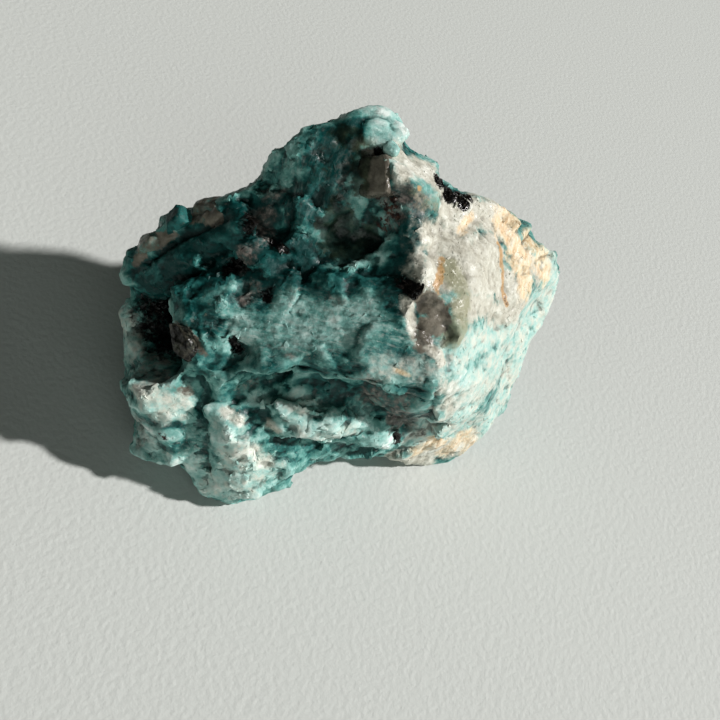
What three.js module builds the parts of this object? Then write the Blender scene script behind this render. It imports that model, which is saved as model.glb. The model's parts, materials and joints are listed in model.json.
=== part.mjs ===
// A hand-sized lump of rough amazonite, modelled as one closed solid.
//
// The stone is a broken, star-shaped mass: from a point near its middle every part of its
// surface can be seen. Named corners fix its broken faces, a geodesic sphere is drawn out
// onto those faces, and its edges are worn. Then come the ridges, grooves and pits that are
// strokes along the surface, and the blocky fracture that covers the whole stone.
//
// Units are millimetres, +Z is up. The front of the stone, with its ledges, faces -Y. The
// finished stone is moved sideways so that the origin lies under the middle of its outline,
// on the surface that it rests on; the sizes below are from before that move.

import * as THREE from "three";
import { ConvexHull } from "three/addons/math/ConvexHull.js";
import { ImprovedNoise } from "three/addons/math/ImprovedNoise.js";
import { mergeVertices } from "three/addons/utils/BufferGeometryUtils.js";

// ---- driving dimensions -------------------------------------------------------------

const HEART = new THREE.Vector3(0, -1, 22); // the point that the surface is drawn out from
const SPHERE_DETAIL = 19; // splits of each edge of the icosahedron: 20 * (19 + 1)^2 triangles
const EVEN_PASSES = 30; // how many times the points are spread over the faces, to make them even
const WORN_PASSES = 3; // how many times the edges between the broken faces are eased
const EVEN_SHARE = 0.8; // how far a point goes towards the mean of its neighbours for that
const WORN_SHARE = 0.5; // how far a point goes towards the mean of its neighbours each time
const SWELL_SHARE = 0.52; // and how far it then goes back out, so that the stone keeps its size

// Corners of the broken faces, each [x, y, z]. A group is one visible form of the stone.
const CORNERS = {
  peak: [[-12, 17, 61], [-8, 18, 60], [-6, 17, 57], [-13, 11, 56], [-9, 22, 56]],
  rightSkyline: [
    [-1, 19, 55], [5, 20, 52], [11, 21, 49], [17, 26, 46], [24, 31, 42], [30, 32, 38], [34, 33, 33],
  ],
  rightEdge: [
    [36, 31, 28], [37, 28, 24], [37, 22, 19], [37, 18, 15],
    [38, 14, 11], [36, 9, 8], [35, 4, 3], [32, 0, 0],
  ],
  frontFoot: [[28, -4, 0], [22, -6, 1], [16, -9, 4], [11, -12, 6], [7, -16, 5], [4, -20, 4]],
  lobeFoot: [[0, -26, 1], [-4, -30, 0], [-10, -31, 1], [-17, -30, 4], [-24, -32, 5]],
  leftEdge: [
    [-25, -31, 7], [-27, -28, 9], [-29, -24, 11], [-31, -21, 13],
    [-35, -17, 16], [-37, -14, 19], [-38, -11, 22],
  ],
  leftSkyline: [
    [-39, -7, 25], [-37, -4, 28], [-36, -1, 33], [-31, 1, 38],
    [-27, 3, 42], [-23, 5, 46], [-22, 8, 51], [-18, 12, 56],
  ],
  crest: [
    [-4, 12, 55], [0, 8, 52], [4, 11, 52], [6, 4, 49], [8, -1, 48], [10, -5, 46],
    [13, -9, 43], [18, -10, 39], [21, -11, 33], [22, -9, 27], [23, -7, 15], [24, -6, 4],
  ],
  quartzSlope: [[13, 12, 48], [15, 1, 45], [21, 2, 39], [24, 20, 42], [30, 24, 35], [24, 11, 39]],
  rightWall: [[24, -5, 32], [28, 6, 30], [31, 18, 27], [30, -1, 18], [33, 9, 18], [29, -1, 10]],
  upperFace: [
    [-17, 6, 50], [-10, 11, 54], [-15, 2, 46], [-10, 6, 51],
    [-5, 6, 50], [-11, -2, 43], [-5, 1, 46], [1, 2, 47],
  ],
  leftSlope: [[-33, -8, 30], [-27, -4, 37], [-21, -1, 42], [-29, -11, 31], [-23, -9, 35], [-17, -6, 40]],
  shelf: [
    [-18, -12, 33], [-11, -8, 38], [-3, -5, 41], [3, -4, 43], [-13, -15, 32], [-4, -15, 35], [4, -13, 38],
  ],
  shelfLip: [
    [-17, -20, 28], [-11, -21, 28], [-6, -20, 30], [-2, -18, 31], [4, -17, 33], [10, -16, 35], [16, -14, 34],
  ],
  recess: [[-7, -18, 23], [-1, -15, 24], [5, -12, 24], [13, -10, 22], [19, -8, 19], [21, -7, 11]],
  ledge: [[-13, -24, 22], [-8, -23, 21], [-2, -20, 22], [4, -17, 21], [10, -15, 19], [15, -11, 13]],
  ledgeLip: [[-8, -26, 16], [-2, -22, 15], [4, -18, 11], [10, -14, 11], [16, -10, 8]],
  lobe: [[-10, -29, 15], [-5, -28, 11], [-2, -25, 10], [-6, -31, 5]],
  leftFoot: [
    [-27, -26, 18], [-22, -26, 23], [-18, -24, 26], [-23, -28, 16],
    [-17, -28, 15], [-19, -31, 9], [-14, -30, 10],
  ],
  leftWall: [[-34, -12, 23], [-30, -16, 21], [-26, -19, 24], [-36, -13, 17]],
  backTop: [[-29, 9, 26], [-22, 16, 36], [-11, 23, 46], [6, 26, 41], [19, 31, 37], [31, 36, 26]],
  backFoot: [[-31, 3, 14], [-25, 15, 12], [-14, 23, 11], [1, 28, 12], [17, 32, 10], [31, 34, 10]],
  underside: [
    [-24, -26, 1], [-31, -15, 3], [-29, 0, 2], [-20, 12, 1],
    [0, 22, 1], [15, 27, 1], [29, 27, 1], [33, 13, 1],
  ],
  // These lie below the surface that the stone rests on, and are cut off flat there.
  flatSpot: [
    [-17, -18, -2], [-20, 0, -2], [-4, -12, -2], [-6, 12, -2], [12, 18, -2], [24, 17, -2], [22, 4, -2],
  ],
};

// Ridges, grooves and pits: each runs along a path, is as deep as depth at its middle and
// fades out at width from it. A negative depth stands proud.
const STROKES = [
  // the left slope: long slabs that climb to the right, with dark clefts between them
  { name: "slab crest", path: [[-37, -8, 25], [-30, -4, 33], [-22, 0, 39]], width: 4.5, depth: -2.4 },
  { name: "slab cleft", path: [[-31, -11, 26], [-22, -7, 34], [-14, -2, 42]], width: 4, depth: 3.6 },
  { name: "skyline groove", path: [[-33, -5, 31], [-26, -2, 37], [-21, 2, 43]], width: 2.8, depth: 1.6 },
  { name: "skyline grains", path: [[-33, -2, 34], [-29, 0, 37]], width: 4, depth: -1.8 },
  { name: "skyline lump", path: [[-25, 2, 41], [-22, 4, 44]], width: 3.5, depth: -1.8 },
  { name: "black pit", path: [[-20, -8, 35]], width: 4, depth: 3.5 },
  { name: "upper pit", path: [[-18, -3, 41], [-16, 0, 44]], width: 3.2, depth: 2.6 },
  { name: "lower block", path: [[-27, -13, 28], [-22, -12, 31], [-16, -12, 33]], width: 5.5, depth: -2.6 },
  { name: "chunk", path: [[-17, -5, 38], [-14, -2, 42]], width: 4.5, depth: -1.6 },
  { name: "chunk groove", path: [[-11, -9, 37], [-11, -3, 42], [-12, 0, 45]], width: 3, depth: 1.6 },
  // the left end: a black cavity with a blade of quartz beside it, above a layered foot
  { name: "black cavity", path: [[-31, -14, 23], [-26, -20, 24]], width: 6, depth: 8 },
  { name: "quartz blade", path: [[-25, -16, 27], [-18, -21, 27]], width: 3, depth: -2 },
  { name: "blade groove", path: [[-20, -18, 28], [-16, -20, 28]], width: 2.6, depth: 1.8 },
  { name: "foot band", path: [[-27, -26, 16], [-18, -25, 20]], width: 4, depth: -1.4 },
  { name: "foot groove", path: [[-26, -28, 10], [-16, -28, 14]], width: 2.4, depth: 1.4 },
  { name: "low foot groove", path: [[-25, -31, 5], [-15, -30, 9]], width: 2.4, depth: 1.2 },
  { name: "foot cleft", path: [[-17, -24, 24], [-13, -28, 15], [-9, -30, 8]], width: 3, depth: 3.4 },
  // the crown
  { name: "peak knob", path: [[-8, 16, 59]], width: 6, depth: -1.6 },
  { name: "knob groove", path: [[-11, 13, 57], [-3, 14, 58]], width: 2.6, depth: 1.4 },
  { name: "small knob", path: [[-4, 13, 56]], width: 2.8, depth: -1.6 },
  { name: "smoky block", path: [[-6, 8, 52], [-2, 9, 53]], width: 5, depth: -3.4 },
  { name: "crown spur", path: [[-18, 9, 52], [-12, -1, 44]], width: 4, depth: -1.6 },
  { name: "hollow", path: [[-6, 0, 46], [-3, 2, 47]], width: 5.5, depth: 3 },
  { name: "crest block", path: [[0, 10, 53], [4, 5, 49]], width: 4.5, depth: -2 },
  { name: "mica nook", path: [[7, 19, 51]], width: 4, depth: 2.4 },
  // the front: a shelf over a recess, a ledge, and a crumbly lobe at the foot
  { name: "shelf end", path: [[-15, -12, 34], [-10, -21, 27]], width: 3, depth: 1.8 },
  { name: "shelf pits", path: [[-14, -18, 30]], width: 3, depth: 1.8 },
  {
    name: "recess", path: [[-9, -19, 24], [-2, -16, 27], [6, -14, 29], [14, -12, 29]],
    width: 4, depth: 3.2,
  },
  { name: "ledge crest", path: [[-6, -21, 22], [-1, -18, 23], [7, -15, 22]], width: 3.6, depth: -1.6 },
  { name: "ledge step", path: [[10, -14, 20], [18, -9, 14]], width: 3, depth: -1.2 },
  { name: "ledge fissure", path: [[2, -19, 15], [10, -14, 11], [16, -10, 10]], width: 2.6, depth: 2.2 },
  { name: "nook", path: [[-5, -22, 20]], width: 3.4, depth: 2 },
  { name: "high lobe lump", path: [[-12, -26, 19]], width: 4.5, depth: -2 },
  { name: "middle lobe lump", path: [[-6, -27, 14]], width: 4.5, depth: -2.4 },
  { name: "low lobe lump", path: [[-7, -30, 9]], width: 4.5, depth: -2.2 },
  { name: "right lobe lump", path: [[-2, -25, 9], [1, -22, 11]], width: 4, depth: -2.2 },
  { name: "crest hollow", path: [[19, -9, 16]], width: 5, depth: 4.4 },
  { name: "crest curl", path: [[18, -12, 35], [22, -10, 26]], width: 3.6, depth: -1.6 },
  // the right slope and wall
  { name: "quartz swell", path: [[16, 7, 46], [19, -1, 41]], width: 9, depth: -1.4 },
  { name: "rusty groove", path: [[19, 20, 45], [25, 12, 39]], width: 2.6, depth: 1.2 },
  { name: "high wall groove", path: [[35, 22, 21], [30, 0, 12]], width: 3, depth: 1.2 },
  { name: "low wall groove", path: [[27, 9, 33], [29, -2, 14]], width: 3, depth: 1 },
  { name: "wall pit", path: [[33, 6, 14]], width: 3, depth: 1.6 },
  // the back, which broke in three steps
  {
    name: "back step", path: [[-25, 10, 24], [-6, 22, 34], [14, 29, 28], [30, 34, 18]],
    width: 6, depth: 2.6,
  },
  { name: "back crest", path: [[-27, 11, 14], [-8, 24, 22], [16, 31, 18]], width: 5, depth: -2 },
  { name: "back gully", path: [[-12, 18, 44], [-8, 24, 26], [-12, 22, 8]], width: 5, depth: 2.4 },
  { name: "back hollow", path: [[12, 26, 38], [20, 30, 26]], width: 6, depth: 3 },
];

// The fracture: blocks that lie along the cleavage, each face a little off its neighbour's.
const CLEAVAGE = new THREE.Vector3(0.85, 0.35, 0.4).normalize(); // the way the blocks are long
const BLOCKS = [
  // millimetres across, length in widths, step in millimetres, slope of a face
  { size: 9, stretch: 1.8, level: 0.5, tilt: 0.2 },
  { size: 4.5, stretch: 1.5, level: 0.3, tilt: 0.24 },
];
const SWELLS = { wavelength: 7, height: 0.6 };
// Parts of the surface that broke smoother than the rest: share of the fracture that stays.
const CALM_PARTS = [
  { name: "shelf", middle: [0, -11, 38], radius: 15, share: 0.35 },
  { name: "quartz slope", middle: [21, 9, 41], radius: 18, share: 0.5 },
  { name: "crown face", middle: [-12, 7, 51], radius: 10, share: 0.5 },
];

// ---- the broken faces ---------------------------------------------------------------

/** The faces between the corners, measured from the heart, each with the planes of its sides. */
function brokenFaces() {
  const placeOf = new Map();
  for (const corner of Object.values(CORNERS).flat()) {
    const place = new THREE.Vector3(...corner).sub(HEART);
    placeOf.set(place.clone().normalize(), place);
  }
  const hull = new ConvexHull().setFromPoints([...placeOf.keys()]);
  return hull.faces.map(({ edge }) => {
    const [a, b, c] = [edge.prev, edge, edge.next].map((side) => placeOf.get(side.head().point));
    const sides = [[a, b], [b, c], [c, a]];
    return {
      plane: new THREE.Plane().setFromCoplanarPoints(a, b, c),
      sides: sides.map(([from, to]) => new THREE.Vector3().crossVectors(from, to).normalize()),
    };
  });
}

/** How far the surface lies from the heart along a direction. */
function reach(direction, faces) {
  let best = faces[0];
  let bestInside = -Infinity;
  for (const face of faces) {
    const [first, second, third] = face.sides;
    const inside = Math.min(direction.dot(first), direction.dot(second), direction.dot(third));
    if (inside > bestInside) {
      bestInside = inside;
      best = face;
    }
  }
  return -best.plane.constant / direction.dot(best.plane.normal);
}

/** Puts each point of a geometry onto the broken faces, straight out from the heart. */
function drawOut(geometry, faces) {
  const position = geometry.getAttribute("position");
  const point = new THREE.Vector3();
  for (let i = 0; i < position.count; i += 1) {
    point.fromBufferAttribute(position, i).sub(HEART).normalize();
    point.multiplyScalar(reach(point, faces)).add(HEART);
    position.setXYZ(i, point.x, point.y, point.z);
  }
}

/** A geodesic sphere drawn out onto the broken faces, with its points spread evenly on them. */
function drawnOutSphere() {
  const sphere = new THREE.IcosahedronGeometry(1, SPHERE_DETAIL);
  sphere.deleteAttribute("normal");
  sphere.deleteAttribute("uv");
  const geometry = mergeVertices(sphere, 1e-5).translate(...HEART);
  const faces = brokenFaces();
  const neighbours = neighboursOf(geometry);
  drawOut(geometry, faces);
  for (let pass = 0; pass < EVEN_PASSES; pass += 1) {
    goTowardsNeighbours(geometry, neighbours, EVEN_SHARE);
    drawOut(geometry, faces);
  }
  for (let pass = 0; pass < WORN_PASSES; pass += 1) {
    goTowardsNeighbours(geometry, neighbours, WORN_SHARE);
    goTowardsNeighbours(geometry, neighbours, -SWELL_SHARE);
  }
  return geometry;
}

/** For each point of a geometry, the numbers of the points that an edge joins it to. */
function neighboursOf(geometry) {
  const neighbours = Array.from({ length: geometry.getAttribute("position").count }, () => new Set());
  const index = geometry.getIndex().array;
  for (let i = 0; i < index.length; i += 3) {
    const corners = index.slice(i, i + 3);
    for (const corner of corners) {
      for (const other of corners) {
        if (other !== corner) neighbours[corner].add(other);
      }
    }
  }
  return neighbours;
}

/** Moves each point a share of the way to the mean of its neighbours. */
function goTowardsNeighbours(geometry, neighbours, share) {
  const position = geometry.getAttribute("position");
  const before = position.clone();
  const mean = new THREE.Vector3();
  const point = new THREE.Vector3();
  for (let i = 0; i < position.count; i += 1) {
    mean.set(0, 0, 0);
    for (const other of neighbours[i]) mean.add(point.fromBufferAttribute(before, other));
    mean.divideScalar(neighbours[i].size);
    point.fromBufferAttribute(before, i).lerp(mean, share);
    position.setXYZ(i, point.x, point.y, point.z);
  }
}

/** How far a point lies from a path, in millimetres. */
function distanceToPath(point, path) {
  const places = path.map((place) => new THREE.Vector3(...place));
  const nearest = new THREE.Vector3();
  let least = point.distanceTo(places[0]);
  for (let i = 1; i < places.length; i += 1) {
    new THREE.Line3(places[i - 1], places[i]).closestPointToPoint(point, true, nearest);
    least = Math.min(least, point.distanceTo(nearest));
  }
  return least;
}

/** 1 at the middle, 0 from the rim on, with no step between. */
function fade(distance, rim) {
  const share = Math.min(distance / rim, 1);
  return (1 - share * share) ** 2;
}

/** The ridges, grooves and pits at a point of the worn surface: how far they stand out. */
function strokesAt(point) {
  let out = 0;
  for (const { path, width, depth } of STROKES) out -= depth * fade(distanceToPath(point, path), width);
  return out;
}

/** A number from 0 to 1 that is always the same for one block, or one trait of it. */
function blockNumber(cell, trait) {
  const wave = Math.sin(cell.x * 127.1 + cell.y * 311.7 + cell.z * 74.7 + trait * 53.3) * 43758.5453;
  return wave - Math.floor(wave);
}

/** How far a block's face stands out at a point, for blocks of one size. */
function blockFaceAt(point, { size, stretch, level, tilt }) {
  const along = point.dot(CLEAVAGE);
  const squeezed = point.clone().addScaledVector(CLEAVAGE, along / stretch - along).divideScalar(size);
  const home = squeezed.clone().floor();
  const cell = new THREE.Vector3();
  const toSeed = new THREE.Vector3();
  let nearest = { distance: Infinity };
  for (let step = 0; step < 27; step += 1) {
    cell.set((step % 3) - 1, (Math.floor(step / 3) % 3) - 1, Math.floor(step / 9) - 1).add(home);
    toSeed.set(blockNumber(cell, 1), blockNumber(cell, 2), blockNumber(cell, 3)).add(cell).sub(squeezed);
    const distance = toSeed.length();
    if (distance < nearest.distance) nearest = { distance, cell: cell.clone(), toSeed: toSeed.clone() };
  }
  const slope = new THREE.Vector3(
    blockNumber(nearest.cell, 4) - 0.5,
    blockNumber(nearest.cell, 5) - 0.5,
    blockNumber(nearest.cell, 6) - 0.5,
  );
  const rise = 2 * tilt * size * slope.dot(nearest.toSeed);
  return rise + level * (2 * blockNumber(nearest.cell, 7) - 1);
}

/** The blocky fracture and the low swells at a point: how far they stand out. */
function fractureAt(point, noise) {
  let out = 0;
  for (const blocks of BLOCKS) out += blockFaceAt(point, blocks);
  const { wavelength, height } = SWELLS;
  out += height * noise.noise(point.x / wavelength, point.y / wavelength, point.z / wavelength);
  for (const { middle, radius, share } of CALM_PARTS) {
    out *= 1 - (1 - share) * fade(point.distanceTo(new THREE.Vector3(...middle)), radius);
  }
  return out;
}

/** Moves each point straight out of the surface, or into it, by the strokes and the fracture. */
function breakSurface(geometry) {
  geometry.computeVertexNormals();
  const position = geometry.getAttribute("position");
  const normals = geometry.getAttribute("normal");
  const noise = new ImprovedNoise();
  const point = new THREE.Vector3();
  const normal = new THREE.Vector3();
  for (let i = 0; i < position.count; i += 1) {
    point.fromBufferAttribute(position, i);
    normal.fromBufferAttribute(normals, i);
    point.addScaledVector(normal, strokesAt(point) + fractureAt(point, noise));
    position.setXYZ(i, point.x, point.y, point.z);
  }
}

/** The stone stands on its foot: nothing lies below the surface that it rests on. */
function cutFlatFoot(geometry) {
  const position = geometry.getAttribute("position");
  for (let i = 0; i < position.count; i += 1) position.setZ(i, Math.max(position.getZ(i), 0));
}

/** Puts the middle of the stone's outline, seen from above, over the origin. */
function standOverOrigin(geometry) {
  geometry.computeBoundingBox();
  const middle = geometry.boundingBox.getCenter(new THREE.Vector3());
  geometry.translate(-middle.x, -middle.y, 0);
}

function stoneGeometry() {
  const geometry = drawnOutSphere();
  breakSurface(geometry);
  cutFlatFoot(geometry);
  standOverOrigin(geometry);
  geometry.computeVertexNormals();
  return geometry;
}

// ---- the part -----------------------------------------------------------------------

const stone = new THREE.Mesh(
  stoneGeometry(),
  new THREE.MeshStandardMaterial({ color: 0x4f9d98, roughness: 0.6, metalness: 0 }),
);
stone.name = "amazonite_stone";

const part = new THREE.Group();
part.add(stone);
export default part;
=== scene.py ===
"""The looks of a hand-sized piece of rough amazonite.

The stone is one broken lump of green-blue feldspar with sugary quartz down one side. Its skin is made
here. The solid is covered with small even faces, named slabs are flattened in them, steps and grooves are
worn into them, and they are broken into cleavage chips of three sizes. Layers on the mesh say what mineral
each spot is, and one finish turns the layers into colour, gloss and grain. Six grains and blocks are grown
into the skin, and the crumbs, grains and flakes that stand on it are scattered by Geometry Nodes.

Places and sizes are millimetres in the stone's own frame, and become metres where a mesh is made.
"""

import json
import logging
import math
from dataclasses import dataclass, field
from enum import Enum

import bmesh
import bpy
import numpy as np
from mathutils import Matrix, Vector

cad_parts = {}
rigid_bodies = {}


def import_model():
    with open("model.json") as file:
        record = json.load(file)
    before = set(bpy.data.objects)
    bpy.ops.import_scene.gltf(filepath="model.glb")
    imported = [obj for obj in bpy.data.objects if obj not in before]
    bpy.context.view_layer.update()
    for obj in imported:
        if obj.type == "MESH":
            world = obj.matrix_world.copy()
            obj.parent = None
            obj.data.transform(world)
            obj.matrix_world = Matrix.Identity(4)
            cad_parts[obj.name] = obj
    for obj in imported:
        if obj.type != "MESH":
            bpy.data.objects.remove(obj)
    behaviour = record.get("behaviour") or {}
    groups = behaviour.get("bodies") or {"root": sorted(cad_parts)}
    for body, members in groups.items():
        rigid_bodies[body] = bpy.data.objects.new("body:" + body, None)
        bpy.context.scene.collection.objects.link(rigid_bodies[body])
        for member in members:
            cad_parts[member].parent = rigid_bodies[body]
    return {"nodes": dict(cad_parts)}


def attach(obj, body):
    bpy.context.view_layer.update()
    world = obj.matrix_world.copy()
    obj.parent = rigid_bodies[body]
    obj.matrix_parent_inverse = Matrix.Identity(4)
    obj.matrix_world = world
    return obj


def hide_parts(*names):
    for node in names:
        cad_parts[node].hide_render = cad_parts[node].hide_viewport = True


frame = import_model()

LOG = logging.getLogger("amazonite")
MM = 0.001
NODE = "amazonite_stone"
BODY = "root"
Point = tuple[float, float, float]
Path = tuple[Point, ...]
Socket = bpy.types.NodeSocket


# ---- what lies where on the stone


class Mineral(Enum):
    """What the skin is made of. Each value is the name of its layer on the mesh."""

    QUARTZ = "quartz"
    SMOKY = "smoky"
    VEIN = "vein"
    AMBER = "amber"
    STAIN = "stain"
    RUST = "rust"
    MICA = "mica"
    PALE = "pale"
    # The darkest feldspar: partly the stone's own deep teal and partly painted shade where the stone lies in
    # shade.
    DEEP = "deep"
    BROWN = "brown"
    OLIVE = "olive"
    MILK = "milk"


class Lay(Enum):
    """The ways that the streaks lie. Each value is the name of its layer on the mesh."""

    SHELF = "shelf_streaks"
    WALL = "wall_streaks"
    FACE = "face_streaks"
    FOOT = "foot_streaks"


class Bit(Enum):
    """What stands loose-looking on the skin. Each value is the name of its layer on the mesh."""

    CRUMB = "crumbs"
    GRAIN = "grains"
    FLAKE = "flakes"


class Break(Enum):
    """How the skin breaks. Each value is the name of its layer on the mesh."""

    CALM = "calm"
    BLOCKY = "blocky"


@dataclass(frozen=True)
class Spot:
    """One patch along a path on the skin, of a mineral, of streaks or of a way to break.

    Attributes:
        width: how far it reaches from the path, in millimetres.
        path: the points it follows, in millimetres.
        share: how strongly it shows, from 0 to 1. A share below zero clears the layer instead.
        CORE: the part of the width where it shows in full.
        EDGE: the part of the width over which it fades out.
    """

    width: float
    path: Path
    share: float = 1.0

    CORE = 0.25
    EDGE = 0.95

    def cover(self, points: np.ndarray, wander: np.ndarray | float = 0.0) -> np.ndarray:
        """How strongly the patch shows at some places.

        Args:
            points: the places, in millimetres.
            wander: what is added to their distance, as a share of the width.

        Returns:
            A share for each place.
        """
        gap = path_distance(points, self.path) / self.width + wander
        return self.share * fade(np.clip(gap - self.CORE, 0, 1) / self.EDGE)


# Paths that more than one patch, groove or slab follows.
FOOT_CRYSTALS = ((-24, -29, 20), (-21, -29, 20), (-18, -28, 20), (-20, -30, 18))
FRONT_GRAIN = ((-3, -23.5, 19), (-2, -23.5, 18.5))
VEIN_RUN = ((13, 1, 47), (16, -1, 45), (18, -5, 43), (18, -8, 42))
RUST_GRAIN = ((-19, -31, 14), (-18, -31, 14))
DARK_PIT = ((-20, -10, 34), (-19, -8, 35))
HIGH_PIT = ((-20, -4, 42), (-20, -6, 41))
MIDDLE_PIT = ((-15, -4, 39), (-13, -5, 40))
SHELF_PIT = ((-12, -11, 37), (-12, -13, 36))
LOW_PIT = ((-14, -19, 30), (-13, -19, 29))
WALL_PIT = ((19, -11, 13), (18, -11, 15))
RIGHT_WALL = ((35, 24, 28), (30, 8, 27), (25, -6, 27), (26, -6, 12))
HOLLOW = ((-7, 0, 46), (-5, -1, 44), (-2, 1, 45))
STAIN_FACE = ((22, 20, 43), (27, 20, 38))
CROWN_QUARTZ = ((-1, 9, 56), (1, 8, 55), (3, 11, 53))
SMOKY_PATCH = ((12, -8, 44), (15, -9, 42))

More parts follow.
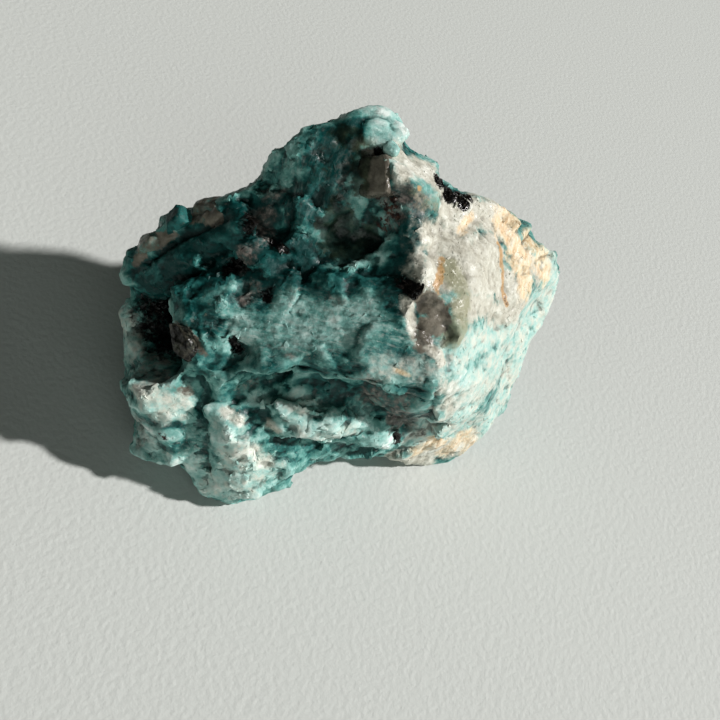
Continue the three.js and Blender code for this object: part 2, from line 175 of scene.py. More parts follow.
SPOTS: dict[Mineral | Lay | Break, tuple[Spot, ...]] = {
    # White sugary quartz.
    Mineral.QUARTZ: (
        # Crown.
        Spot(4.6, ((-1, 10, 57), (1, 11, 54), (3, 13, 53), (5, 11, 52))),
        Spot(2.6, ((-1, 9, 57), (0, 6, 56))),
        # Quartz slope.
        Spot(5.2, ((7, 9, 51), (10, 10, 49), (13, 16, 48), (17, 20, 46))),
        Spot(5.6, ((8, 4, 49), (12, 5, 48), (16, 7, 47), (19, 13, 44))),
        Spot(5.8, ((11, -1, 47), (16, 3, 46), (21, 10, 41), (27, 13, 37))),
        Spot(3.6, ((18, -3, 44), (21, 2, 42), (26, 8, 36), (29, 14, 34)), 0.9),
        Spot(1.3, ((9, -7, 44), (11, -10, 43), (13, -12, 42), (15, -11, 41), (18, -11, 39))),
        Spot(3.6, ((22, 20, 43), (26, 20, 39), (29, 22, 36)), 0.8),
        # Left end.
        Spot(2.4, ((-30, 2, 28), (-31, 2, 18), (-29, 1, 7)), 0.8),
        # Front.
        Spot(2.4, FOOT_CRYSTALS, 0.5),
        Spot(2.3, ((-5, -29, 15), (-3, -27, 14), (-1, -27, 12)), 0.5),
        Spot(1.3, FRONT_GRAIN, 0.9),
        Spot(1.2, ((-2, -22, 24), (1, -21, 23)), 0.8),
        Spot(1.4, ((-11, -26, 20), (-9, -26, 20), (-8, -26, 19)), 0.7),
        # Right side.
        Spot(2.6, ((20, -13, 36), (22, -11, 34), (23, -10, 29), (24, -9, 26)), 0.7),
        Spot(2.6, ((25, -7, 30), (29, -1, 22), (31, 6, 23), (36, 14, 17)), 0.45),
        Spot(4.4, ((22, -9, 4), (27, -6, 2), (27, -6, 8), (31, -2, 6), (34, 0, 7)), 0.9),
        # Far side.
        Spot(3, ((-9, 21, 45), (-7, 20, 36), (-8, 21, 26), (-6, 23, 18), (-2, 26, 8)), 0.9),
        Spot(3, ((20, 30, 34), (14, 29, 22), (9, 29, 12)), 0.8),
        # Cleared for the brown grains beside the crown knob.
        Spot(3, ((2, 5, 54), (4, 5, 53), (5, 7, 51)), -0.9),
    ),
    # Smoky quartz: the patch on the slope, the crown block, the blade over the cavity and grains.
    Mineral.SMOKY: (
        Spot(1.8, ((-7, 8, 55), (-6, 5, 54), (-5, 6, 54), (-3, 5, 54)), 0.9),
        Spot(2.7, ((12, -6, 45), (14, -6, 44), (15, -8, 43), (14, -9, 43), (14, -11, 42))),
        Spot(2, ((-30, -5, 38), (-28, -4, 39), (-26, -5, 40)), 0.9),
        Spot(1.7, ((-24, -18, 27), (-21, -20, 28), (-18, -22, 27))),
        Spot(1.5, ((-36, -11, 28), (-35, -9, 30), (-33, -8, 33), (-32, -8, 35)), 0.9),
        Spot(1.2, ((-22, -27, 22), (-19, -27, 22), (-17, -26, 21)), 0.6),
        Spot(2.6, ((2, 34, 27), (5, 33, 21)), 0.8),
    ),
    # Yellow-green vein quartz.
    Mineral.VEIN: (
        Spot(1.8, ((-7.5, 9, 56.5), (-9, 8, 56)), 0.5),
        Spot(2.2, ((2, 6, 54), (4, 5, 53), (5, 8, 52)), 0.45),
        Spot(2.8, VEIN_RUN, 0.95),
    ),
    # Amber seams.
    Mineral.AMBER: (
        Spot(0.6, ((2, 6, 55), (3, 6, 55)), 0.8),
        Spot(1.1, ((11, 2, 48), (12, -1, 47), (12, -3, 46), (13, -4, 45), (15, -5, 44))),
        Spot(0.9, ((20, 16, 44), (22, 14, 41), (24, 11, 38), (26, 10, 37)), 0.9),
    ),
    # Peach iron stain.
    Mineral.STAIN: (
        Spot(4.4, ((19, 21, 45), (22, 20, 43), (25, 19, 40), (28, 17, 37)), 0.9),
        Spot(3.4, ((25, 24, 42), (29, 25, 37), (31, 24, 35)), 0.85),
        Spot(1.3, ((13, 15, 48), (12, 12, 48), (12, 9, 48)), 0.8),
        Spot(0.7, ((12, -16, 38), (14, -15, 37)), 0.8),
        Spot(2.6, ((24, -7, 7), (26, -6, 10), (26, -6, 12), (28, -5, 9)), 0.78),
        Spot(3, ((30, -3, 5), (31, -2, 8), (32, 0, 9), (35, 1, 4)), 0.72),
        Spot(2.6, ((-7, 21, 31), (-7, 22, 20)), 0.8),
        Spot(2.6, ((30, 31, 14), (24, 31, 9)), 0.8),
    ),
    # Rust, in lines and grains.
    Mineral.RUST: (
        Spot(2, ((-2, 4, 51), (0, 3, 52), (1, 3, 51), (0, 2, 48)), 0.8),
        Spot(0.8, ((-1, 7, 55), (2, 6, 54)), 0.7),
        Spot(0.8, ((25, 10.5, 37.5), (26, 10, 37)), 0.7),
        Spot(1.4, ((-29, -2, 39), (-25, 2, 41)), 0.8),
        Spot(1, ((6, -19, 34), (6, -18, 33)), 0.9),
        Spot(0.8, RUST_GRAIN, 0.9),
    ),
    # Black mica, mostly in pits.
    Mineral.MICA: (
        # Crown.
        Spot(0.8, ((-6, 9, 56), (-5, 8.5, 55.5))),
        Spot(1, ((-5, 3, 52), (-3, 3, 53), (0, 3, 54)), 0.8),
        # Quartz slope.
        Spot(2.4, ((5, 13, 52), (7, 15, 50), (9, 16, 49), (10, 17, 49))),
        Spot(1.9, ((6.3, 11.6, 51.4), (8.3, 12.6, 50.5), (10.2, 13.7, 49.6))),
        Spot(1.7, ((7, -5, 45), (8, -5, 45), (9, -6, 46))),
        # Left slope.
        Spot(2.2, DARK_PIT, 0.9),
        Spot(1.3, HIGH_PIT, 0.8),
        Spot(1.3, MIDDLE_PIT, 0.8),
        # Left end: the cavity, black mica and also painted shade deep in the hole.
        Spot(5.5, ((-31, -13, 20), (-28, -15, 18), (-25, -17, 18)), 0.7),
        # Shelf.
        Spot(1.4, SHELF_PIT, 0.8),
        # Front.
        Spot(1.3, LOW_PIT, 0.8),
        Spot(0.7, ((-10, -19, 24), (-5, -20, 26), (-1, -18, 28)), 0.7),
        # Right side.
        Spot(1.3, WALL_PIT, 0.9),
        # Far side.
        Spot(2, ((-20, 16, 27), (-19, 17, 24)), 0.9),
        Spot(1.8, ((-3, 23, 36), (-1, 23, 34)), 0.9),
        Spot(1.4, ((-28, 16, 22), (-27, 18, 20)), 0.9),
    ),
    # Bleached feldspar.
    Mineral.PALE: (
        # Crown.
        Spot(2.2, ((-8, 11, 57), (-6, 11, 58), (-4, 12, 58)), 0.7),
        Spot(4, ((-10, 14, 59), (-7, 13, 59), (-5, 13, 58), (-6, 10, 57)), 0.72),
        Spot(2.4, ((-13, 12, 58), (-11, 13, 59), (-8, 14, 60))),
        Spot(2.6, ((-1, 9, 55.5), (1.5, 8, 56), (3, 13, 53)), 0.7),
        Spot(2.2, ((-6, 3, 51), (-5, 2, 49), (-6, 1, 46)), 0.6),
        Spot(1.6, ((-11, -4, 44), (-7, -5, 42), (-2, -4, 43), (2, -2, 45)), 0.7),
        # Quartz slope.
        Spot(3.6, ((5, -11.5, 41), (7.5, -12, 41), (10, -12.5, 40.5)), 0.4),
        Spot(3, ((7, -13, 40), (10, -12, 41), (12, -11.5, 41)), 0.35),
        Spot(2.6, ((23, -4, 38), (25, 1, 34), (23, -5, 36), (29, 8, 31)), 0.7),
        # Left end.
        Spot(5, ((-34, -3, 18), (-32, 4, 26), (-30, 2, 14)), 0.7),
        # Shelf.
        Spot(5.5, ((-14, -14, 34), (-7, -14, 37), (-1, -13, 38), (4, -10, 41)), 0.66),
        Spot(4.5, ((-12, -18, 30), (-5, -18, 33), (1, -17, 36), (6, -14, 39)), 0.5),
        # Front.
        Spot(
            2.2,
            (
                (-7.5, -22, 22.2), (-4.5, -21.3, 23.2), (-1, -19.9, 23.8),
                (2, -18.6, 23.6), (5, -17.6, 23.6),
            ),
        ),
        Spot(2.6, ((-7, -21, 25), (-3, -20.5, 24), (1, -20, 22)), 0.6),
        Spot(5, ((-9, -29, 17), (-6, -30, 12), (-2, -30, 8), (-7, -32, 7)), 0.9),
        Spot(5, ((-24, -31, 13), (-19, -32, 10), (-14, -32, 9)), 0.7),
        Spot(3.6, ((0, -20, 23), (2, -20, 19), (6, -18, 20), (8, -17.5, 19))),
        Spot(3, ((12, -15, 19), (17, -12, 14)), 0.75),
        Spot(3.6, ((-11, -27, 19), (-9, -29, 17), (-6, -28, 16), (0, -28, 9)), 0.7),
        Spot(1.6, ((-21, -30, 17), (-17, -28, 19)), 0.95),
        # Right side.
        Spot(4, ((22.5, -10, 35.5), (25, -8, 31), (27, -6, 27), (27.5, -6, 22)), 0.9),
        Spot(4, ((25, -6.5, 9.5), (29, -4, 6), (31, -1.5, 6.5), (32.5, 0, 7.5)), 0.9),
        Spot(3.8, ((31, 27, 37), (35, 27, 31), (35, 23, 27), (35, 14, 18)), 0.55),
        # Far side.
        Spot(5, ((-2, 22, 46), (4, 23, 40), (12, 26, 30)), 0.7),
        Spot(5, ((-18, 17, 22), (-14, 18, 12)), 0.8),
    ),
    # The darkest feldspar: partly the stone's own deep teal, and partly painted shade where the stone lies
    # in shade, most of all on the left slope and the crown.
    Mineral.DEEP: (
        # Crown.
        Spot(3.2, ((-12, 9, 57), (-11, 9, 56), (-11, 11, 58))),
        Spot(2.6, ((2.5, 4.5, 54), (4.5, 4, 53)), 0.6),
        Spot(2.4, ((1, 4, 54), (3, 4.5, 53.5), (5, 3.5, 52.5)), 0.8),
        Spot(5, ((-13, 8, 54), (-12, 5, 53), (-12, 2, 49), (-13, 0, 46)), 0.9),
        # Quartz slope.
        Spot(4.2, ((4, 1, 52), (5, -1, 49), (6, -4, 46), (7, -7, 44)), 0.8),
        # Left slope.
        Spot(3, ((-20.5, -7.5, 37.5), (-17, -10.5, 36.5), (-13.5, -12, 36.5)), 0.6),
        Spot(2.2, ((-17, -14.5, 35), (-14.5, -14, 34.5), (-12.5, -14, 35)), 0.9),
        Spot(3.4, ((-28, -12, 31), (-25, -12, 33), (-21, -10, 35))),
        Spot(6, ((-22, -8, 37), (-18, -6, 39), (-13, -6, 40), (-9, -6, 39)), 0.9),
        Spot(4, ((-32, -9, 30), (-28, -8, 35), (-24, -5, 40), (-18, -1, 43)), 0.8),
        # Left end.
        Spot(5, ((-34, -12, 28), (-31, -11, 25), (-29, -9, 33), (-26, -9, 37)), 0.8),
        Spot(3.6, ((-25, -16.5, 30.5), (-22.5, -16.5, 31), (-19.5, -17.5, 31.5)), 0.5),
        # Shelf.
        Spot(3.8, ((-8, -8, 39), (-2, -8, 41), (3, -5, 43)), 0.55),
        Spot(3, ((-12.5, -10.5, 37), (-9.5, -9, 36.5), (-7.5, -8.5, 38.5)), 0.85),
        Spot(2.4, ((9, -18, 36), (12, -15, 38)), 0.3),
        Spot(
            3,
            ((-9, -21.5, 30.5), (-4.5, -20.5, 32.5), (0, -18.5, 33.5), (4, -17, 35.5), (8.5, -16, 37.5)),
            0.55,
        ),
        Spot(3, ((8.5, -14.5, 26), (11.5, -13, 27), (14, -17, 34), (16.5, -16, 34)), 0.5),
        Spot(3, ((10, -14.5, 39), (12.5, -14.5, 39.5), (15, -13, 39)), 0.6),
        # Front.
        Spot(3.4, ((-2, -17, 24), (1, -16, 24), (4, -15, 24)), 0.4),
        Spot(1.8, ((-10.5, -26, 19), (-8.5, -25, 19.5), (-6.5, -24.3, 20.3)), 0.9),
        Spot(1.6, ((-18, -32, 12), (-15, -31, 13)), 0.8),
        Spot(1.3, ((-6, -30, 14), (-5, -30, 13)), 0.9),
        Spot(2, ((-17, -20, 26), (-13, -21, 25)), 0.8),
        Spot(1.3, ((8, -17, 22), (9, -16, 17)), 0.8),
        Spot(1, ((-26, -29, 15), (-23.5, -31, 14), (-20, -30.5, 15.6), (-16.5, -30, 16)), 0.9),
        Spot(1.1, ((-23, -32, 8.5), (-20, -32.5, 7.5), (-17.5, -31.8, 10)), 0.5),
        Spot(3, ((10, -16, 26), (15, -14, 24), (18, -12, 20)), 0.7),
        # Right side.
        Spot(3.2, ((20, -11, 23.5), (17, -11.5, 21), (20.5, -8.5, 14.5), (22.5, -8.5, 14.5)), 0.95),
        # Far side.
        Spot(6, ((-23, 10, 38), (-23, 12, 28)), 0.7),
        Spot(5, ((18, 29, 26), (24, 31, 20)), 0.6),
    ),
    # Pinkish grey grains.
    Mineral.BROWN: (
        # Crown.
        Spot(2.4, ((-2, 4, 52), (1, 3, 53), (1, 2, 50)), 0.9),
        Spot(2.8, ((1, 4, 54), (3, 4, 53), (4, 6, 53)), 0.7),
        Spot(3, ((-9, 5, 53), (-8, 3, 51)), 0.4),
        # Left slope.
        Spot(2.8, ((-19, -2, 42), (-18, -3, 41), (-17, -4, 40)), 0.7),
        Spot(2.4, ((-18, -8, 38), (-17, -8, 36)), 0.9),
        Spot(1.9, ((-16, -14, 35), (-15, -12, 36)), 0.9),
        Spot(1.6, ((-20, 0, 45), (-18, 1, 47)), 0.8),
        # Left end.
        Spot(3, ((-36, -17, 19), (-33, -18, 18)), 0.8),
        Spot(2, ((-28, -21, 18), (-24, -22, 18)), 0.8),
        Spot(2.6, ((-27, -25, 18), (-23, -25, 20)), 0.6),
        # Shelf.
        Spot(1.4, ((-6, -18, 32), (-4, -19, 33)), 0.6),
        Spot(1.6, ((-2, -10, 40), (3, -10, 41)), 0.5),
        # Front.
        Spot(2.4, ((-11, -21, 21), (-9, -18.5, 22)), 0.5),
        Spot(3.4, ((9, -18, 34), (12, -14, 28), (11, -13, 24)), 0.8),
        Spot(2.8, ((16, -15, 32), (16.5, -11.5, 22), (18, -10.5, 17)), 0.85),
        Spot(2.6, ((-24, -31, 12), (-23, -32, 9)), 0.7),
        # Far side.
        Spot(4, ((-16, 14, 49), (-20, 12, 44)), 0.7),
        Spot(4, ((-24, 9, 25), (-26, 8, 18)), 0.8),
    ),
    # Dark olive glass, deepest in the hollow under the crown.
    Mineral.OLIVE: (
        Spot(2.6, ((-8, 7, 55.5), (-7.2, 5, 54), (-6, 3.2, 52)), 0.85),
        Spot(3, ((-13, 9, 55), (-11, 9, 56)), 0.65),
        Spot(4, ((-14, 5, 53), (-12, 3, 51)), 0.42),
        Spot(4.6, HOLLOW),
        Spot(2.4, ((17, -12, 17), (20, -10, 15)), 0.6),
        Spot(2.4, ((19, -10.5, 21), (20.5, -9, 15), (22.5, -8.5, 14.5)), 0.6),
        Spot(2.6, ((17, -12, 20), (19, -10.5, 16)), 0.6),
    ),
    # Feldspar grown through with quartz.
    Mineral.MILK: (
        # Quartz slope.
        Spot(5, ((19, -8, 39), (22, -4, 38), (25, 4, 35), (30, 12, 32)), 0.9),
        # Left end.
        Spot(3.4, ((-37, -18, 20), (-35, -18, 18), (-32, -20, 16)), 0.9),
        # Shelf.
        Spot(3, ((10, -16, 37), (16, -13, 38), (20, -12, 37)), 0.6),
        # Front.
        Spot(3.6, FOOT_CRYSTALS),
        Spot(3.6, ((-7, -30, 15), (-5, -29, 15), (-3, -28, 12), (-1, -28, 11))),
        Spot(1.6, ((-7.5, -22, 22.2), (-4.5, -21.3, 23.2), (-1, -19.9, 23.8), (3, -18.2, 23.6)), 0.5),
        Spot(2.4, ((1, -21, 20), (4, -19.5, 19), (7, -18.5, 18)), 0.7),
        Spot(3.4, ((0, -20, 23), (2, -20, 19), (6, -18, 20), (9, -17, 19)), 0.6),
        Spot(4, ((-10, -27, 19), (-6, -28, 15), (0, -27, 11)), 0.5),
        Spot(4, ((-24, -31, 12), (-18, -32, 8), (-12, -32, 8)), 0.3),
        Spot(4.6, ((-7, -30, 15), (-3, -30, 8), (-8, -32, 7)), 0.6),
        # Right side.
        Spot(9, RIGHT_WALL, 0.95),
        Spot(7, ((36, 18, 20), (36, 10, 15), (34, 2, 9), (30, -4, 14))),
        Spot(5, ((31, 27, 37), (36, 26, 28), (36, 14, 16)), 0.7),
        Spot(4, ((24, -7, 7), (29, -4, 8), (33, 1, 6)), 0.9),
        # Far side.
        Spot(4, ((-19, 15, 39), (-20, 15, 31)), 0.7),
    ),
    # Streaks along the shelf and the ledge under it.
    Lay.SHELF: (
        Spot(8, ((-13, -16, 32), (-4, -15, 36), (5, -13, 39), (16, -12, 39))),
        Spot(4.5, ((0, -21, 22), (10, -17, 20)), 0.7),
    ),
    # Streaks down the right wall and the far side.
    Lay.WALL: (
        Spot(9, RIGHT_WALL),
        Spot(8, ((33, 20, 36), (31, 2, 12), (36, 10, 8)), 0.9),
        Spot(12, ((-8, 32, 30), (10, 32, 24)), 0.6),
    ),
    # Streaks down the crown's left face and the stained face.
    Lay.FACE: (
        Spot(6.5, ((-13, 7, 54), (-12, 3, 50), (-11, -1, 46), (-16, 4, 51)), 0.5),
        Spot(5, STAIN_FACE, 0.8),
    ),
    # Streaks along the foot.
    Lay.FOOT: (
        Spot(5, ((-33, -18, 14), (-27, -24, 16)), 0.7),
        Spot(6, ((-24, -30, 10), (-19, -31, 11), (-14, -31, 12))),
    ),
    # Where the skin is hardly broken.
    Break.CALM: (
        # Crown.
        Spot(5, ((-10, 14, 59), (-7, 13, 59), (-5, 12, 58), (-5, 10, 56)), 0.85),
        Spot(4.4, CROWN_QUARTZ, 0.8),
        Spot(2.6, ((-6, 7, 54), (-4, 8, 55), (-2, 5, 55)), 0.8),
        Spot(4, ((-14, 10, 56), (-12, 9, 56), (-11, 11, 58)), 0.7),
        Spot(4.6, HOLLOW, 0.7),
        # Quartz slope.
        Spot(7, ((11, 2, 48), (16, 2, 46), (22, 10, 41), (16, -4, 44)), 0.85),
        Spot(3.4, VEIN_RUN),
        Spot(3.6, SMOKY_PATCH, 0.95),
        Spot(5, STAIN_FACE, 0.4),
        # Left slope.
        Spot(4.5, ((-32, -11, 31), (-27, -8, 36), (-23, -6, 40)), 0.6),
        # Shelf.
        Spot(7.5, ((-12, -16, 32), (-4, -14, 37), (5, -12, 40), (14, -13, 39)), 0.85),
        # Front.
        Spot(3, ((-13.5, -24.5, 22), (-12.5, -24.7, 21), (-12.3, -25.5, 20))),
        # Right side.
        Spot(9, ((33, 20, 30), (29, 6, 27), (25, -6, 27)), 0.5),
        Spot(5, ((34, 28, 35), (37, 26, 28), (37, 16, 18)), 0.6),
    ),
    # Where it breaks into the biggest blocks.
    Break.BLOCKY: (
        Spot(11, ((-30, -8, 32), (-22, -6, 38), (-16, -2, 42), (-22, 4, 44))),
        Spot(9, ((-8, -28, 16), (-2, -26, 12), (4, -22, 16))),
        Spot(8, ((-24, -28, 14), (-16, -28, 14))),
        Spot(18, ((-20, 26, 28), (4, 34, 22), (18, 31, 18))),
        Spot(14, ((-38, 4, 18), (-34, 14, 14))),
    ),
}

LAY_WAYS: dict[Lay, Point] = {
    Lay.SHELF: (0.97, 0.13, 0.2),
    Lay.WALL: (-0.25, -0.62, -0.75),
    Lay.FACE: (0.08, -0.78, -0.62),
    Lay.FOOT: (0.95, -0.1, 0.3),
}


@dataclass(frozen=True)
class Stroke:
    """A groove, pit or ridge worn into the skin along a path.

    Attributes:
        width: how far it reaches from the path, in millimetres.
        depth: how far it goes in, or out where it is below zero, in millimetres.
        path: the points it follows, in millimetres.
    """

    width: float
    depth: float
    path: Path


STROKES: tuple[Stroke, ...] = (
    # Crown: the knobs' cracks, the smoky block's edges, the hollow.
    Stroke(1.1, 0.9, ((-11, 11, 57), (-9, 13, 58.5), (-7, 13.5, 59), (-5, 13, 58.5))),
    Stroke(1.2, 0.9, ((-6, 9, 55), (-6, 8, 55), (-5, 7, 54))),
    Stroke(1.4, 0.8, ((-10, 8, 55), (-9, 5, 53), (-8, 3, 51))),
    Stroke(1.1, 0.9, ((-5, 3, 52), (-3, 3, 53), (0, 3, 54), (2, 5, 54))),
    Stroke(3.2, 1.4, ((-7, 1, 46), (-5, 0, 44), (-2, 1, 45))),
    Stroke(1.2, 1, ((-4, 2, 49), (-2, 2, 48), (0, 2, 48), (2, 1, 49))),
    # Quartz slope: the star, the amber seam, the mica nook, the stain's ribs.
    Stroke(1.6, 1.3, ((8, -5, 45), (9, -5, 45))),
    Stroke(0.9, 0.4, ((11, 2, 48), (12, -3, 46), (15, -5, 44))),
    Stroke(2, 1, ((5, 16, 50), (9, 17, 49))),
    Stroke(0.8, 0.45, ((20, 16, 44), (22, 14, 41), (26, 10, 37))),
    Stroke(1, 0.5, ((22, 22, 44), (25, 22, 41), (28, 20, 38))),
    # Left slope: slab edges, pits and the cavity.
    Stroke(1.4, 1.2, ((-31, -13, 27), (-27, -12, 31), (-22, -10, 35), (-18, -7, 39))),
    Stroke(1.2, 0.9, ((-33, -9, 31), (-29, -7, 36), (-25, -5, 40), (-20, -2, 43))),
    Stroke(2.4, 1.5, DARK_PIT),
    Stroke(1.5, 1.1, HIGH_PIT),
    Stroke(1.6, 1.2, MIDDLE_PIT),
    Stroke(1.5, 1, SHELF_PIT),
    Stroke(1.6, 1, LOW_PIT),
    Stroke(1.1, 0.9, ((-24, -19, 26), (-20, -20, 30), (-16, -17, 33))),
    Stroke(1.2, 0.8, ((-16, -15, 34), (-13, -12, 36), (-11, -8, 38))),
    # Ledge, recess and lobe.
    Stroke(1.4, 1.2, ((-9, -20, 25), (-5, -20, 27), (0, -18, 29), (4, -17, 30))),
    Stroke(2.2, 1.6, ((-11, -26.3, 18.8), (-9, -25, 19.6), (-6.5, -24.3, 20.3), (-4.5, -23.7, 20.6))),
    Stroke(1.2, -1, FRONT_GRAIN),
    Stroke(3.2, -1.6, ((1.5, -21, 18), (5, -19, 17), (9, -17.5, 16), (12, -15.5, 15))),
    Stroke(0.9, 1, ((1, -22, 17), (4, -19, 14), (8, -17, 14), (12, -16, 15))),
    Stroke(0.9, -0.8, ((1, -22, 15.5), (4, -18.5, 12.5), (7, -17.5, 13), (9.5, -17, 14))),
    Stroke(1, 0.8, ((8, -18, 23), (8, -17, 20), (10, -16, 16))),
    Stroke(1.6, 1.2, WALL_PIT),
    Stroke(1.3, 1.1, ((-17, -25, 25), (-15, -26, 19), (-14, -28, 16), (-12, -30, 11), (-8, -32, 7))),
    Stroke(1, 0.7, ((-9, -30, 15), (-7, -31, 11))),
    Stroke(1.1, 0.7, ((-9, -28, 18), (-6, -29, 15), (-4, -29, 16))),
    Stroke(0.8, 0.8, RUST_GRAIN),
    Stroke(0.8, 0.6, ((-24, -31, 15), (-19, -31, 16), (-15, -29, 18))),
    Stroke(0.8, 0.6, ((-24, -32, 7), (-19, -32, 9), (-14, -32, 10))),
    Stroke(1.1, 0.8, ((31, 0, 20), (31, 1, 22))),
)


@dataclass(frozen=True)
class Scarp:
    """A sharp step in the skin, with the edge of a slab on one side and a gully on the other.

    Attributes:
        rise: how far the slab's edge stands out, in millimetres.
        drop: how far the gully goes in, in millimetres.
        low: a place well off the path on the gully's side, in millimetres.
        path: the points that the edge follows, in millimetres.
        reach: how far back from the edge the slab is raised, in millimetres.
        gully: how wide the gully is, in millimetres.
        WORN: how much of the rise is left at the edge, from 0 to 1.
    """

    rise: float
    drop: float
    low: Point
    path: Path
    reach: float = 6.0
    gully: float = 2.4

    WORN = 0.7


SCARPS: tuple[Scarp, ...] = (
    # Left slope: the slabs that lie one behind the other, and the blocks on them.
    Scarp(
        0.9, 1.7, (-40, 8, 44),
        ((-36, -13, 26), (-34, -12, 28), (-32, -10, 31), (-29, -8, 36), (-23, -5, 41), (-20, -3, 42)),
    ),
    Scarp(
        0.9, 2.2, (-30, 0, 42),
        ((-28, -13, 30), (-26, -12, 31), (-24, -10, 33), (-22, -9, 36), (-20, -7, 38)),
    ),
    Scarp(0.7, 1.6, (-36, -18, 18), ((-28, -14, 30), (-27, -16, 29), (-25, -19, 28))),
    Scarp(0.6, 1, (-20, -26, 22), ((-24, -19, 28), (-21, -20, 29), (-18, -18, 31), (-17, -17, 33))),
    Scarp(0.8, 1.3, (-26, -12, 34), ((-19, -8, 38), (-18, -9, 37), (-17, -10, 37), (-16, -12, 36))),
    Scarp(
        0.7, 1.4, (-28, -2, 42), ((-18, -4, 40), (-18, -2, 42), (-17, 0, 44), (-16, 1, 47), (-16, 2, 50)),
    ),
    Scarp(0.6, 1.2, (-30, 8, 46), ((-22, -1, 43), (-20, 0, 44), (-19, 2, 46), (-19, 4, 50))),
    # Crown: the rim of the hollow, the smoky block's foot, the quartz above the knobs.
    Scarp(
        0.8, 1.2, (-5, 1, 46),
        (
            (-12, -1, 46), (-11, -3, 44), (-10, -4, 42), (-8, -5, 41),
            (-4, -5, 42), (-1, -3, 44), (1, 0, 46),
        ),
        4.0, 3.0,
    ),
    Scarp(0.8, 1.1, (-2, 0, 44), ((-8, 4, 51), (-6, 4, 52), (-3, 4, 52), (0, 4, 54)), 4, 1.8),
    Scarp(0.5, 0.8, (4, 1, 48), ((-1, 4, 55), (1, 5, 55), (4, 8, 54), (6, 10, 52)), 4, 1.8),
    # Quartz slope: the sunk smoky patch inside its crumbly rim, the mica nook.
    Scarp(
        0.6, 0.9, (14, -8, 43),
        ((10, -6, 45), (10, -9, 43), (13, -12, 42), (16, -11, 40), (18, -8, 41)), 3.0, 3.6,
    ),
    Scarp(0.5, 1.2, (8, 18, 50), ((4, 15, 51), (6, 15, 50), (8, 15, 50), (10, 16, 49)), 3, 2),
    # Front: the shelf's lip over the recess, the ledge, the wall's white edge, the foot's steps.
    Scarp(
        0.5, 1.4, (2, -20, 18),
        (
            (-8, -22, 30), (-4, -20, 32), (1, -18, 33), (6, -19, 34),
            (10, -18, 36), (15, -16, 36), (18, -15, 36),
        ),
    ),
    Scarp(
        0.8, 1.1, (4, -12, 30),
        (
            (-8, -22, 21), (-4, -20, 22), (0, -20, 23), (4, -18, 23),
            (7, -17, 23), (9, -16, 22), (13, -13, 19), (17, -12, 14),
        ),
    ),
    Scarp(0.5, 1.3, (12, -12, 22), ((20, -14, 36), (21, -14, 33), (22, -10, 22), (23, -9, 17))),
    Scarp(
        0.6, 0.9, (-20, -36, 8),
        ((-24, -30, 17), (-22, -30, 17), (-18, -30, 17), (-16, -27, 19)), 4.0, 1.8,
    ),
    Scarp(0.5, 0.9, (-20, -20, 30), ((-26, -25, 19), (-22, -27, 22), (-18, -26, 23)), 4, 2),
    Scarp(0.5, 0.8, (-24, -16, 20), ((-28, -22, 18), (-25, -22, 19), (-22, -22, 20)), 3.5, 2),
)


@dataclass(frozen=True)
class Slab:
    """A flat face in the skin. Its plane is the one that fits the skin under it best.

    Attributes:
        reach: how far it spreads from the path, in millimetres.
        lift: how far it stands out, in millimetres.
        path: the points that it spreads from, in millimetres.
        RIM, WANDER: over how much of the reach it fades out, and how far its edge wanders.
        STEEP, GENTLE: how much the skin faces its way to be moved at all, and how much more in full.
        LEAN_LIMIT: the least facing that its distance along the skin's way out is worked out with.
    """

    reach: float
    lift: float
    path: Path

    RIM = 0.35
    WANDER = 0.18
    STEEP = 0.3
    GENTLE = 0.4
    LEAN_LIMIT = 0.4


